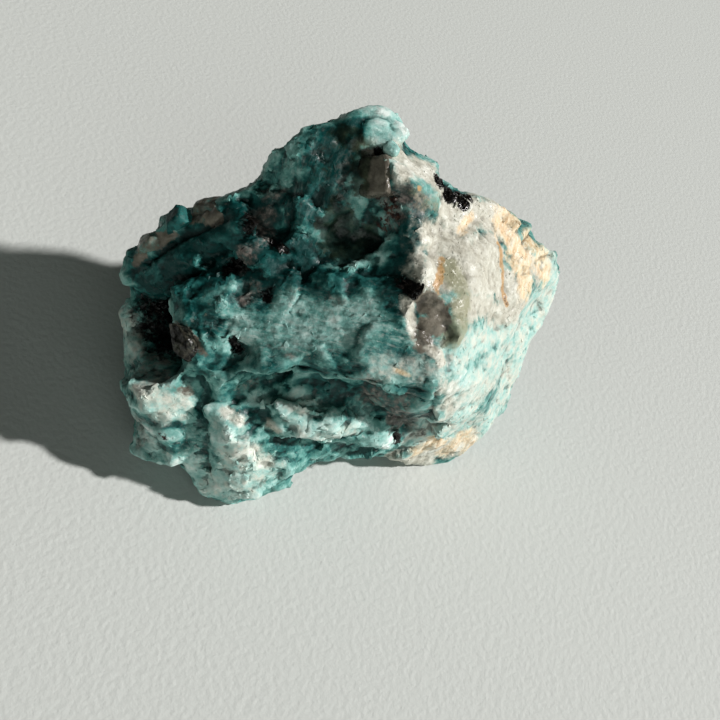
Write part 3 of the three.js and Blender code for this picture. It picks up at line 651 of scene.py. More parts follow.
SLABS: tuple[Slab, ...] = (
    # Left slope: the long slab below the skyline, the one in front of it, and the blocks beside them.
    Slab(5.2, 0.9, ((-35, -12, 27), (-31, -10, 32), (-27, -8, 36), (-23, -6, 40))),
    Slab(4.4, 0.6, ((-24, -17, 31), (-21, -15, 33), (-19, -12, 34))),
    Slab(3.2, 0.6, ((-16, -9, 38), (-16, -6, 39))),
    Slab(3, 0.4, ((-12, -6, 40), (-11, -4, 43))),
    Slab(2, 0.6, ((-17, -15, 35), (-15, -14, 35))),
    # Crown: the streaked face, the smoky block, the quartz beside it.
    Slab(4.4, 0.2, ((-15, 5, 53), (-13, 3, 51), (-11, 1, 48))),
    Slab(2.6, 0.2, ((-10, 5, 52), (-8, 2, 49))),
    Slab(2.6, 0.45, ((-8, 11, 57.5), (-6, 11.5, 58), (-5, 12, 58))),
    Slab(1.6, 0.8, ((2, 5.5, 55), (3.5, 5, 54))),
    Slab(1.8, 0.9, ((5, 7, 52), (6, 8, 51))),
    Slab(4.4, 0.6, CROWN_QUARTZ),
    # The sunk smoky patch.
    Slab(3.4, -0.1, SMOKY_PATCH),
    # Left end: the white crystal face and the blade.
    Slab(3.2, 0.3, ((-23, -30, 20), (-19, -28, 21))),
    Slab(1.9, 0.8, ((-24, -18, 27), (-20, -22, 28))),
    # Front: the shelf, the ledge in three lengths, the lumps of the lobe.
    Slab(7.5, 0, ((-12, -14, 35), (-4, -14, 37), (4, -12, 40))),
    Slab(5, 0, ((9, -14, 39), (15, -13, 38))),
    Slab(1.5, 0.9, ((0.5, -20, 23), (2, -21, 18))),
    Slab(1.3, 0.5, ((3, -19.5, 23), (4, -19.5, 17))),
    Slab(1.5, 1, ((5, -19, 23), (6.5, -18, 17))),
    Slab(1.3, 0.5, ((7.5, -18.5, 22), (8.5, -18, 16))),
    Slab(1.6, 1, ((9.5, -17, 21), (11, -16, 15))),
    Slab(1.4, 0.3, ((12, -15.5, 19), (13.5, -14, 14))),
    Slab(1.8, 0.7, ((15, -14, 17), (17, -12.5, 13))),
    Slab(2.2, 0.5, ((-12, -27, 20), (-10, -27, 20))),
    Slab(2.6, 0.7, ((-8, -28, 17), (-5, -29, 15))),
    Slab(2, 0.6, ((-5, -25, 17), (-3, -25, 15))),
    Slab(3.4, 0.5, ((-7, -31, 10), (-3, -30, 7))),
    Slab(2.4, 0.5, ((2, -26, 11), (1, -26, 7))),
    Slab(3, 0.6, ((-16, -30, 14), (-17, -32, 8))),
)


# ---- shaping the skin


class Swells:
    """Smooth random swells in space with finer swells on them, the same for the same seed.

    Attributes:
        SIZE: how many corners the lattice has before it repeats.
        HEIGHT: what brings one size of swell to about -1 to 1.
        APART: how far the lattice is moved from one size to the next, in millimetres.
    """

    SIZE = 256
    HEIGHT = 1.6
    APART = 17.3

    def __init__(self, seed: int, size: float, octaves: int, share: float = 0.5) -> None:
        """Draws the order of the lattice and a slope for each of its corners.

        Args:
            seed: the number that fixes the draws.
            size: the largest swells, in millimetres.
            octaves: how many sizes there are, each half of the one before.
            share: how high each size is, next to the one before.
        """
        self.size, self.octaves, self.share = size, octaves, share
        draws = np.random.default_rng(seed)
        self.order = draws.permutation(self.SIZE)
        slopes = draws.normal(size=(self.SIZE, 3))
        self.slopes = slopes / np.linalg.norm(slopes, axis=1, keepdims=True)

    def pick(self, corners: np.ndarray) -> np.ndarray:
        """Numbers the corners of a whole-number lattice from 0 to 255."""
        picked = self.order[corners[:, 0] % self.SIZE]
        picked = self.order[(picked + corners[:, 1]) % self.SIZE]
        return self.order[(picked + corners[:, 2]) % self.SIZE]

    def one_size(self, points: np.ndarray, size: float) -> np.ndarray:
        """Swells of one size, from about -1 to 1.

        Args:
            points: places, in millimetres.
            size: the distance from swell to swell, in millimetres.

        Returns:
            A value for each place.
        """
        scaled = points / size
        base = np.floor(scaled).astype(int)
        part = scaled - base
        ease = part**3 * (part * (part * 6 - 15) + 10)
        total = np.zeros(len(points))
        for step in np.ndindex(2, 2, 2):
            corner = np.array(step)
            slope = self.slopes[self.pick(base + corner)]
            weight = np.prod(np.where(corner == 1, ease, 1 - ease), axis=1)
            total += weight * ((part - corner) * slope).sum(axis=1)
        return total * self.HEIGHT

    def at(self, points: np.ndarray) -> np.ndarray:
        """The swells of all sizes together.

        Args:
            points: places, in millimetres.

        Returns:
            A value for each place, from about -1 to 1.
        """
        total = np.zeros(len(points))
        size, height, whole = self.size, 1.0, 0.0
        for octave in range(self.octaves):
            total += height * self.one_size(points + self.APART * octave, size)
            whole += height
            size, height = size / 2, height * self.share
        return total / whole

    def drift(self, points: np.ndarray, apart: float) -> np.ndarray:
        """Three swells for each place, which move it a little to a side.

        Args:
            points: places, in millimetres.
            apart: how far the three are read from each other, in millimetres.

        Returns:
            A way for each place, a row each.
        """
        return np.stack([self.at(points + apart * axis) for axis in range(3)], axis=1)


def nearest_on_path(points: np.ndarray, path: Path) -> tuple[np.ndarray, np.ndarray]:
    """Finds the nearest spot of a path.

    Args:
        points: places, in millimetres.
        path: the corners of the path, in millimetres.

    Returns:
        How far each place is from the path, and the path's spot that is nearest to it.
    """
    nearest = np.full(len(points), np.inf)
    spots = np.zeros_like(points)
    corners = np.array(path, float)
    for start, end in zip(corners[:-1], corners[1:]):
        way = end - start
        share = np.clip((points - start) @ way / max(way @ way, 1e-9), 0, 1)
        spot = start + share[:, None] * way
        gap = np.linalg.norm(points - spot, axis=1)
        spots = np.where((gap < nearest)[:, None], spot, spots)
        nearest = np.minimum(nearest, gap)
    return nearest, spots


def path_distance(points: np.ndarray, path: Path) -> np.ndarray:
    """How far each place is from a path, in millimetres."""
    return nearest_on_path(points, path)[0]


def fade(share: np.ndarray) -> np.ndarray:
    """Eases from 1 where share is 0 to 0 where share is 1 or more."""
    rest = 1 - np.clip(share, 0, 1)
    return rest * rest * (3 - 2 * rest)


def place_object(name: str, data: bpy.types.ID) -> bpy.types.Object:
    """Makes an object at the origin and links it to the scene."""
    placed = bpy.data.objects.new(name, data)
    bpy.context.scene.collection.objects.link(placed)
    return placed


def read_points(mesh: bpy.types.Mesh) -> np.ndarray:
    """The places of a mesh's points, in its own units, a row each."""
    flat = np.empty(len(mesh.vertices) * 3)
    mesh.vertices.foreach_get("co", flat)
    return flat.reshape(-1, 3)


def store_layers(mesh: bpy.types.Mesh, layers: dict[str, np.ndarray]) -> None:
    """Writes every layer as a number on each point of the mesh."""
    for name, values in layers.items():
        layer = mesh.attributes.new(name, "FLOAT", "POINT")
        layer.data.foreach_set("value", values.astype(np.float32))


def join(tree: bpy.types.NodeTree, source: Socket | float | tuple | bpy.types.ID, target: Socket) -> None:
    """Links a socket to another, or sets its value."""
    if isinstance(source, Socket):
        tree.links.new(source, target)
    else:
        target.default_value = source


@dataclass(frozen=True)
class Fracture:
    """One size of break: flat chips that lean towards the cleavage and meet at crisp edges.

    Attributes:
        chip: the width of a chip, in millimetres.
        flat: how far the skin goes to the chip's plane, from 0 to 1.
        snap: how far a chip's plane turns to the nearest cleavage, from 0 to 1.
        tilt: how far a chip's plane leans at random.
        step: how far chips stand in or out, in millimetres.
        crack: how deep the joint between chips is, in millimetres.
        seed: fixes the chips.
        CLEAVAGE: the three ways that the feldspar cleaves across.
        STRETCH: how long a chip is along each of them, next to its width.
        JITTER: how far a chip's middle strays in its cell.
        LEAN_LIMIT, SQUARE: how little a chip may face the skin's way out to move it at all, or in full.
        JOINT: how wide the joint is, as a part of the chip.
        BEND, BEND_SIZE: how deep and how long the joints' bends are, as parts of the chip.
        BEND_APART, BEND_SEED: what sets the bends' three axes and their seed apart.
        HASH, DRAWS: numbers that mix a cell's place with the seed, and draw from that mix.
    """

    chip: float
    flat: float
    snap: float
    tilt: float
    step: float
    crack: float
    seed: int

    CLEAVAGE = np.array(((0.83, -0.36, 0.43), (0.47, 0.86, -0.19), (-0.30, 0.36, 0.88)))
    STRETCH = np.array((1.0, 1.35, 0.8))
    JITTER = 0.8
    LEAN_LIMIT = 0.45
    SQUARE = 0.8
    JOINT = 0.2
    BEND = 0.2
    BEND_SIZE = 0.9
    BEND_APART = 31
    BEND_SEED = 40
    HASH = (73856093, 19349663, 83492791, 2654435761)
    DRAWS = (1274126177, 2246822519, 3266489917, 668265263)

    def seeds(self, cells: np.ndarray) -> np.ndarray:
        """Four random numbers from 0 to 1 for each whole-number cell."""
        mixed = cells @ np.array(self.HASH[:3]) + self.seed * self.HASH[3]
        mixed = (mixed ^ (mixed >> 13)) & 0xFFFFFFFF
        drawn = []
        for odd in self.DRAWS:
            part = (mixed * odd) & 0xFFFFFFFF
            drawn.append(((part ^ (part >> 15)) & 0xFFFF) / 65535.0)
        return np.stack(drawn, axis=1)

    def split(self, points: np.ndarray) -> tuple[np.ndarray, np.ndarray, np.ndarray]:
        """Says which chip each point lies on.

        Args:
            points: places, in millimetres.

        Returns:
            The chip's number, four random numbers for the chip, and how far off its joint is, from 0 at
            the joint to 1 well away from it.
        """
        scaled = points @ self.CLEAVAGE.T / (self.chip * self.STRETCH)
        base = np.floor(scaled).astype(np.int64)
        first = np.full(len(points), np.inf)
        second = np.full(len(points), np.inf)
        chosen = np.zeros_like(base)
        for step in np.ndindex(3, 3, 3):
            cell = base + np.array(step) - 1
            spot = cell + 0.5 + self.JITTER * (self.seeds(cell)[:, :3] - 0.5)
            gap = np.linalg.norm(scaled - spot, axis=1)
            closer = gap < first
            second = np.where(closer, first, np.minimum(second, gap))
            chosen = np.where(closer[:, None], cell, chosen)
            first = np.minimum(first, gap)
        _, number = np.unique(chosen, axis=0, return_inverse=True)
        return number.ravel(), self.seeds(chosen), np.clip((second - first) / self.JOINT, 0, 1)

    @staticmethod
    def planes(number: np.ndarray, points: np.ndarray, normals: np.ndarray) -> tuple[np.ndarray, np.ndarray]:
        """Fits a plane to the points of every chip.

        Args:
            number: the chip of each point.
            points: places on the skin, in millimetres.
            normals: the way out of the skin at each.

        Returns:
            The middle of each chip, and the way out of its plane.
        """
        count = np.maximum(np.bincount(number), 1)[:, None]
        middle = np.stack([np.bincount(number, points[:, i]) for i in range(3)], axis=1) / count
        outward = np.stack([np.bincount(number, normals[:, i]) for i in range(3)], axis=1)
        off = points - middle[number]
        spread = np.empty((len(count), 3, 3))
        for row, column in np.ndindex(3, 3):
            spread[:, row, column] = np.bincount(number, off[:, row] * off[:, column])
        facing = np.linalg.eigh(spread)[1][:, :, 0]
        facing = facing * np.where((facing * outward).sum(axis=1) < 0, -1, 1)[:, None]
        return middle, facing

    def shift(self, points: np.ndarray, normals: np.ndarray) -> tuple[np.ndarray, np.ndarray]:
        """How far the skin goes in or out to lie on its chips.

        Args:
            points: places on the skin, in millimetres.
            normals: the way out of the skin at each.

        Returns:
            The way out in millimetres, and a random tone from 0 to 1 for each place's chip.
        """
        bends = Swells(self.seed + self.BEND_SEED, self.chip * self.BEND_SIZE, 1)
        bent = bends.drift(points, self.BEND_APART) * self.BEND
        number, luck, inside = self.split(points + bent * self.chip)
        middle, facing = self.planes(number, points, normals)
        along = facing @ self.CLEAVAGE.T
        side = np.abs(along).argmax(axis=1)
        cleaved = self.CLEAVAGE[side] * np.sign(along[np.arange(len(side)), side])[:, None]
        facing = facing[number] * (1 - self.snap) + cleaved[number] * self.snap
        facing += (luck[:, :3] - 0.5) * self.tilt
        facing /= np.linalg.norm(facing, axis=1, keepdims=True)
        lean = np.maximum((normals * facing).sum(axis=1), self.LEAN_LIMIT)
        squarely = 1 - fade((lean - self.LEAN_LIMIT) / (self.SQUARE - self.LEAN_LIMIT))
        way = ((middle[number] - points) * facing).sum(axis=1) / lean * squarely * self.flat
        way += (luck[:, 3] - 0.5) * self.step
        return way - self.crack * (1 - inside) ** 2, luck[:, 3]


@dataclass
class Stone:
    """The stone itself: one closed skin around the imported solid.

    Attributes:
        name: the piece's name.
        splits: how often each face of the solid is split, so that it is round before it is broken.
        face: the width of the skin's even faces, in millimetres.
        fractures: the sizes of break, from coarse to fine.
        foot_height: how far above the table the skin is left as it is, in millimetres.
        ragged: how far the edges of mineral patches wander, as a share of their width.
        sharp_from: edges that bend more than this many degrees stay crisp.
        points: the skin's points, in millimetres.
        normals: the way out of the skin at each point.
        keep: how far each point may move, from 0 to 1.
        ends: the two points of every edge.
        meeting: how many edges meet at each point.
        layers: what lies at each point, by the layer's name.
    """

    name: str = "rough_amazonite"
    splits: int = 1
    face: float = 0.47
    fractures: tuple[Fracture, ...] = (
        Fracture(chip=7.5, flat=0.95, snap=0.3, tilt=0.3, step=0.7, crack=0.2, seed=3),
        Fracture(chip=3.4, flat=0.9, snap=0.15, tilt=0.35, step=0.3, crack=0.1, seed=5),
        Fracture(chip=1.9, flat=0.8, snap=0.1, tilt=0.35, step=0.12, crack=0.04, seed=8),
    )
    foot_height: float = 1.6
    ragged: float = 0.6
    sharp_from: float = 38.0
    points: np.ndarray = field(default=None, repr=False)
    normals: np.ndarray = field(default=None, repr=False)
    keep: np.ndarray = field(default=None, repr=False)
    ends: np.ndarray = field(default=None, repr=False)
    meeting: np.ndarray = field(default=None, repr=False)
    layers: dict[str, np.ndarray] = field(default_factory=dict, repr=False)

    # Swells that bend the edges of patches, slabs and grooves, and those of crumbs, ribs and clusters.
    PATCH_EDGES = Swells(21, 2.4, 3, 0.6)
    SLAB_EDGES = Swells(27, 3.0, 2)
    GROOVE_EDGES = Swells(33, 2.6, 2)
    CRUMBS = Swells(61, 1.3, 2, 0.7)
    RIBS = Swells(62, 1.5, 2, 0.6)
    CLUSTERS = Swells(71, 3.2, 2)

    # How near to each other two corners of the solid count as one, in millimetres.
    MERGE = 0.001
    # Grooves: how far their edges wander, and how far the three axes are read from each other.
    GROOVE_WANDER = 0.55
    GROOVE_APART = 29
    # How far the skin breaks where no layer says so. Blocky skin breaks in full.
    PLAIN_BREAK = 0.65
    # Crumbs on feldspar and what quartz adds to them, and the height and length of streak ribs.
    CRUMB_HEIGHT = 0.07
    QUARTZ_HEIGHT = 0.12
    RIB_HEIGHT = 0.13
    RIB_SQUEEZE = 0.86
    # Hollows: how far the skin is evened for the near and the far look, and how much each counts.
    NEAR_TURNS = 4
    FAR_TURNS = 20
    NEAR_SHARE = 2.6
    FAR_SHARE = 1.1
    # Bits: how strongly they cluster, how many stand between clusters and on stained or calm skin.
    CLUSTER_CONTRAST = 1.6
    STAINED_GRAINS = 0.4
    LOOSE_GRAINS = 0.15
    CALM_LOSS = 0.75
    FLAKE_FROM = 0.6

    def build(self, solid: bpy.types.Object) -> bpy.types.Object:
        """Makes the skin from a copy of the solid.

        Args:
            solid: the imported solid.

        Returns:
            The stone's object, with its mineral layers.
        """
        mesh = self.split_finer(solid)
        self.read(mesh)
        self.read_edges(mesh)
        self.keep = fade(1 - self.points[:, 2] / self.foot_height)
        self.lay_minerals()
        self.lay_slabs()
        self.wear()
        for fracture in self.fractures:
            self.break_skin(fracture)
        self.roughen()
        self.write(mesh)
        self.read(mesh)
        self.find_hollows()
        self.lay_bits()
        store_layers(mesh, self.layers)
        mesh.set_sharp_from_angle(angle=math.radians(self.sharp_from))
        return place_object(self.name, mesh)

    def split_finer(self, solid: bpy.types.Object) -> bpy.types.Mesh:
        """Merges a copy of the solid's loose faces, and covers it with small even faces.

        Args:
            solid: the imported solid.

        Returns:
            A smooth closed mesh of small faces.
        """
        work = bmesh.new()
        work.from_mesh(solid.data)
        bmesh.ops.remove_doubles(work, verts=work.verts, dist=self.MERGE * MM)
        bmesh.ops.recalc_face_normals(work, faces=work.faces)
        coarse = bpy.data.meshes.new(self.name + "_coarse")
        work.to_mesh(coarse)
        work.free()
        holder = place_object(coarse.name, coarse)
        split = holder.modifiers.new("split", "SUBSURF")
        split.levels = split.render_levels = self.splits
        even = holder.modifiers.new("even", "REMESH")
        even.mode = "VOXEL"
        even.voxel_size = self.face * MM
        ready = holder.evaluated_get(bpy.context.evaluated_depsgraph_get())
        mesh = bpy.data.meshes.new_from_object(ready)
        mesh.name = self.name
        bpy.data.objects.remove(holder)
        bpy.data.meshes.remove(coarse)
        mesh.materials.clear()
        mesh.shade_smooth()
        return mesh

    def read(self, mesh: bpy.types.Mesh) -> None:
        """Takes points and normals from the mesh, in millimetres."""
        self.points = read_points(mesh) / MM
        flat = np.empty(len(mesh.vertices) * 3)
        mesh.vertex_normals.foreach_get("vector", flat)
        self.normals = flat.reshape(-1, 3)

    def read_edges(self, mesh: bpy.types.Mesh) -> None:
        """Takes the two ends of every edge, and how many edges meet at each point."""
        ends = np.empty(len(mesh.edges) * 2, np.int64)
        mesh.edges.foreach_get("vertices", ends)
        self.ends = ends.reshape(-1, 2).T
        self.meeting = np.bincount(ends, minlength=len(self.points))

    def eased(self, values: np.ndarray, turns: int) -> np.ndarray:
        """Evens out values over the skin.

        Args:
            values: one or more numbers for each point, a row each.
            turns: how often each point goes half way to its neighbours.

        Returns:
            The evened values.
        """
        one, two = self.ends
        for _ in range(turns):
            columns = [
                np.bincount(one, column[two], len(column)) + np.bincount(two, column[one], len(column))
                for column in values.T
            ]
            values = 0.5 * values + 0.5 * np.stack(columns, axis=1) / self.meeting[:, None]
        return values

    def write(self, mesh: bpy.types.Mesh) -> None:
        """Puts the points back, with nothing below the table."""
        self.points[:, 2] = np.maximum(self.points[:, 2], 0)
        mesh.vertices.foreach_set("co", (self.points * MM).ravel())
        mesh.update()

    def lay_minerals(self) -> None:
        """Fills a layer for each mineral, lay of streaks and way to break, with ragged edges."""
        wander = self.PATCH_EDGES.at(self.points) * self.ragged
        for kind in (*Mineral, *Lay, *Break):
            layer = np.zeros(len(self.points))
            for spot in SPOTS[kind]:
                cover = spot.cover(self.points, wander)
                np.maximum(layer, cover, out=layer)
                layer *= 1 + np.minimum(cover, 0)
            self.layers[kind.value] = layer

    def move(self, way: np.ndarray) -> None:
        """Moves each point out of the skin by a way in millimetres, as far as it may move."""
        self.points += self.normals * (way * self.keep)[:, None]

    def lay_slabs(self) -> None:
        """Flattens the skin where the named slabs lie."""
        wander = self.SLAB_EDGES.at(self.points)
        for slab in SLABS:
            gap = path_distance(self.points, slab.path) / slab.reach + slab.WANDER * wander
            share = fade((gap - 1 + slab.RIM) / slab.RIM)
            middle, facing = self.plane_under(share > 0.5)
            lean = (self.normals * facing).sum(axis=1)
            share = share * (1 - fade((lean - slab.STEEP) / slab.GENTLE))
            way = ((middle - self.points) @ facing) / np.maximum(lean, slab.LEAN_LIMIT) + slab.lift
            self.move(way * share)

    def plane_under(self, chosen: np.ndarray) -> tuple[np.ndarray, np.ndarray]:
        """Fits a plane to some points of the skin.

        Args:
            chosen: says which points count.

        Returns:
            A place on the plane, and its way out.
        """
        middle = self.points[chosen].mean(axis=0)
        off = self.points[chosen] - middle
        facing = np.linalg.eigh(off.T @ off)[1][:, 0]
        return middle, facing * np.sign(facing @ self.normals[chosen].mean(axis=0))

    def wear(self) -> None:
        """Wears the named scarps and strokes into the skin, with edges that wander a little."""
        wander = self.GROOVE_EDGES.drift(self.points, self.GROOVE_APART)
        loose = self.points + self.GROOVE_WANDER * wander
        way = np.zeros(len(self.points))
        for scarp in SCARPS:
            gap, spots = nearest_on_path(loose, scarp.path)
            lower = ((loose - spots) * (np.array(scarp.low) - spots)).sum(axis=1) > 0
            raised = scarp.WORN * scarp.rise * fade(gap / scarp.reach)
            way += np.where(lower, -scarp.drop * fade(gap / scarp.gully), raised)
        for stroke in STROKES:
            way -= stroke.depth * fade(path_distance(loose, stroke.path) / stroke.width)
        self.move(self.eased(way[:, None], 2)[:, 0])

    def toughness(self) -> np.ndarray:
        """How far the skin breaks into chips, from 0 to 1."""
        blocky = self.PLAIN_BREAK + (1 - self.PLAIN_BREAK) * self.layers[Break.BLOCKY.value]
        return (1 - self.layers[Break.CALM.value]) * blocky

    def break_skin(self, fracture: Fracture) -> None:
        """Breaks the skin into chips of one size, and keeps their tones as a layer."""
        way, tone = fracture.shift(self.points, self.normals)
        self.move(self.eased(way[:, None], 1)[:, 0] * self.toughness())
        self.layers[f"tone_{self.fractures.index(fracture)}"] = tone

    def roughen(self) -> None:
        """Adds crumbs, most of them to the quartz, and fine ribs where streaks lie."""
        quartz = np.maximum(self.layers[Mineral.QUARTZ.value], self.layers[Mineral.STAIN.value])
        way = self.CRUMBS.at(self.points) * (self.CRUMB_HEIGHT + self.QUARTZ_HEIGHT * quartz)
        for lay, direction in LAY_WAYS.items():
            along = np.array(direction) / np.linalg.norm(direction)
            squeezed = self.points - self.RIB_SQUEEZE * (self.points @ along)[:, None] * along
            way += self.RIB_HEIGHT * self.layers[lay.value] * self.RIBS.at(squeezed)
        self.move(way)

    def find_hollows(self) -> None:
        """Fills the layer that says where the skin is hollow, below 0.5, or stands out, above it. The finish
        paints shade into the hollows and light onto the raised places from it.
        """
        near = self.eased(self.points, self.NEAR_TURNS)
        far = self.eased(near, self.FAR_TURNS)
        total = np.full(len(self.points), 0.5)
        for evened, share in ((near, self.NEAR_SHARE), (far, self.FAR_SHARE)):
            total += share * ((self.points - evened) * self.normals).sum(axis=1)
        self.layers["relief"] = np.clip(total, 0, 1)

    def lay_bits(self) -> None:
        """Fills the layers that say how thickly crumbs, grains and flakes stand on the skin."""
        patchy = np.clip(0.5 + self.CLUSTER_CONTRAST * self.CLUSTERS.at(self.points), 0, 1)
        clear = (self.points[:, 2] > self.foot_height).astype(float)
        stain = self.layers[Mineral.STAIN.value]
        quartz = np.maximum(self.layers[Mineral.QUARTZ.value], self.STAINED_GRAINS * stain)
        mica = self.layers[Mineral.MICA.value]
        smooth = np.maximum(self.layers[Mineral.SMOKY.value], self.layers[Mineral.OLIVE.value])
        bare = clear * (1 - smooth) * (1 - mica)
        self.layers[Bit.CRUMB.value] = bare * patchy * (1 - quartz) * self.toughness()
        thick = self.LOOSE_GRAINS + (1 - self.LOOSE_GRAINS) * patchy
        calm = self.layers[Break.CALM.value]
        self.layers[Bit.GRAIN.value] = bare * quartz * thick * (1 - self.CALM_LOSS * calm)
        self.layers[Bit.FLAKE.value] = clear * np.clip(mica * 2 - self.FLAKE_FROM, 0, 1)


@dataclass(frozen=True)
class Lump:
    """One block, crystal or ball that is grown into the skin.

    Attributes:
        name: the piece's name.
        minerals: what it is made of, and how strongly each shows.
        middle: where it sits, in millimetres.
        along: the way it is long.
        up: roughly the way out of the skin.
        size: its length, breadth and height, in millimetres.
        square: 2 for a ball, more for a block.
        taper: how much it narrows towards both ends, from 0 to 1.
        cuts: how many cleavage faces are cut into it.
        seed: fixes those and its roughness.
        SPLITS: how many cuts each edge of the cube gets before it is shaped.
        CUT_DEPTHS: how far from the middle a cleavage face may lie, in half sizes.
        ROUGH: how rough it is, in millimetres.
        SHADE_OPENNESS: how open its skin counts as in the layer of hollows, which sets the painted shade and
            painted light that the finish gives it.
        SHARP_FROM: edges that bend more than this many degrees stay crisp.
    """

    name: str
    minerals: tuple[tuple[Mineral, float], ...]
    middle: Point
    along: Point
    up: Point
    size: Point
    square: float
    taper: float
    cuts: int
    seed: int

    SPLITS = 15
    CUT_DEPTHS = (0.72, 0.9)
    ROUGH = 0.16
    SHADE_OPENNESS = 0.5
    SHARP_FROM = 24

    def build(self, finish: bpy.types.Material) -> bpy.types.Object:
        """Makes the lump.

        Args:
            finish: its material, which reads the same layers as on the stone.

        Returns:
            The lump's object.
        """
        work = bmesh.new()
        bmesh.ops.create_cube(work, size=2)
        bmesh.ops.subdivide_edges(work, edges=work.edges, cuts=self.SPLITS, use_grid_fill=True)
        mesh = bpy.data.meshes.new(self.name)
        work.to_mesh(mesh)
        work.free()
        points = self.shaped(read_points(mesh))
        mesh.vertices.foreach_set("co", (points * MM).ravel())
        store_layers(mesh, self.layers(points))
        mesh.materials.append(finish)
        mesh.shade_smooth()
        mesh.update()
        mesh.set_sharp_from_angle(angle=math.radians(self.SHARP_FROM))
        return place_object(self.name, mesh)

    def shaped(self, corners: np.ndarray) -> np.ndarray:
        """Rounds, cuts and roughens a cube, and sets it in its place.

        Args:
            corners: points of a cube from -1 to 1.

        Returns:
            Points in millimetres.
        """
        draws = np.random.default_rng(self.seed)
        away = (np.abs(corners) ** self.square).sum(axis=1, keepdims=True) ** (1 / self.square)
        shape = corners / away
        for _ in range(self.cuts):
            way = draws.normal(size=3)
            way /= np.linalg.norm(way)
            over = np.maximum(shape @ way - draws.uniform(*self.CUT_DEPTHS), 0)
            shape = shape - over[:, None] * way
        shape[:, 1:] *= 1 - self.taper * shape[:, :1] ** 2
        shape = shape * np.array(self.size) / 2
        shape = shape + self.ROUGH * Swells(self.seed, 1.1, 2, 0.7).drift(shape, 9)
        along = np.array(self.along) / np.linalg.norm(self.along)
        side = np.cross(self.up, along)
        side /= np.linalg.norm(side)
        return np.array(self.middle) + shape @ np.stack([along, side, np.cross(along, side)])

    def layers(self, points: np.ndarray) -> dict[str, np.ndarray]:
        """The lump's own minerals, with the olive glass of the stone that grows over it.

        Args:
            points: its points, in millimetres.

        Returns:
            The layers that the finish reads, by name.
        """
        # An even openness, so that each lump gets one level of painted shade and painted light.
        shares = {"relief": self.SHADE_OPENNESS, "tone_1": 0.5, "tone_2": 0.5}
        shares.update({mineral.value: share for mineral, share in self.minerals})
        found = {kind.value: np.zeros(len(points)) for kind in (*Mineral, *Lay)}
        found.update({name: np.full(len(points), share) for name, share in shares.items()})
        glass = found[Mineral.OLIVE.value]
        for spot in SPOTS[Mineral.OLIVE]:
            np.maximum(glass, spot.cover(points), out=glass)
        return found


LUMPS: tuple[Lump, ...] = (
    Lump(
        name="blue_ball", minerals=((Mineral.PALE, 0.7),),
        middle=(-4.0, 9.3, 57.2), along=(1, 0, 0), up=(0, -0.62, 0.78),
        size=(2.7, 2.3, 2.2), square=2.6, taper=0, cuts=2, seed=1,
    ),
    Lump(
        name="smoky_block", minerals=((Mineral.SMOKY, 1.0), (Mineral.OLIVE, 0.3)),
        middle=(-3.8, 6.5, 53.1), along=(0.434, -0.704, -0.561), up=(-0.42, -0.71, 0.56),
        size=(6.4, 5.4, 5.2), square=9, taper=0, cuts=1, seed=2,
    ),
    Lump(
        name="glassy_blade", minerals=((Mineral.SMOKY, 0.9), (Mineral.OLIVE, 0.62), (Mineral.MICA, 0.55)),
        middle=(-21.6, -21.8, 27.7), along=(0.86, -0.40, -0.32), up=(-0.45, -0.70, 0.6),
        size=(9.2, 4.2, 3.6), square=3, taper=0.75, cuts=6, seed=4,
    ),
    Lump(
        name="skyline_block", minerals=((Mineral.DEEP, 0.5),),
        middle=(-32.2, -5.4, 35.6), along=(0.5, 0.3, 0.8), up=(-0.6, -0.2, 0.75),
        size=(5.2, 4.6, 4.0), square=6, taper=0, cuts=5, seed=6,
    ),
    Lump(
        name="skyline_grain_high", minerals=((Mineral.BROWN, 0.6), (Mineral.SMOKY, 0.6)),
        middle=(-27.6, -2.6, 38.4), along=(0.8, 0.3, 0.5), up=(-0.5, -0.2, 0.8),
        size=(6.0, 4.0, 4.0), square=4, taper=0, cuts=7, seed=7,
    ),
    Lump(
        name="skyline_grain_low", minerals=((Mineral.BROWN, 0.7), (Mineral.SMOKY, 0.5), (Mineral.VEIN, 0.4)),
        middle=(-35.2, -8.2, 30.6), along=(0.4, 0.3, 0.8), up=(-0.7, -0.2, 0.7),
        size=(5.2, 4.0, 3.6), square=4, taper=0.2, cuts=7, seed=8,
    ),
)


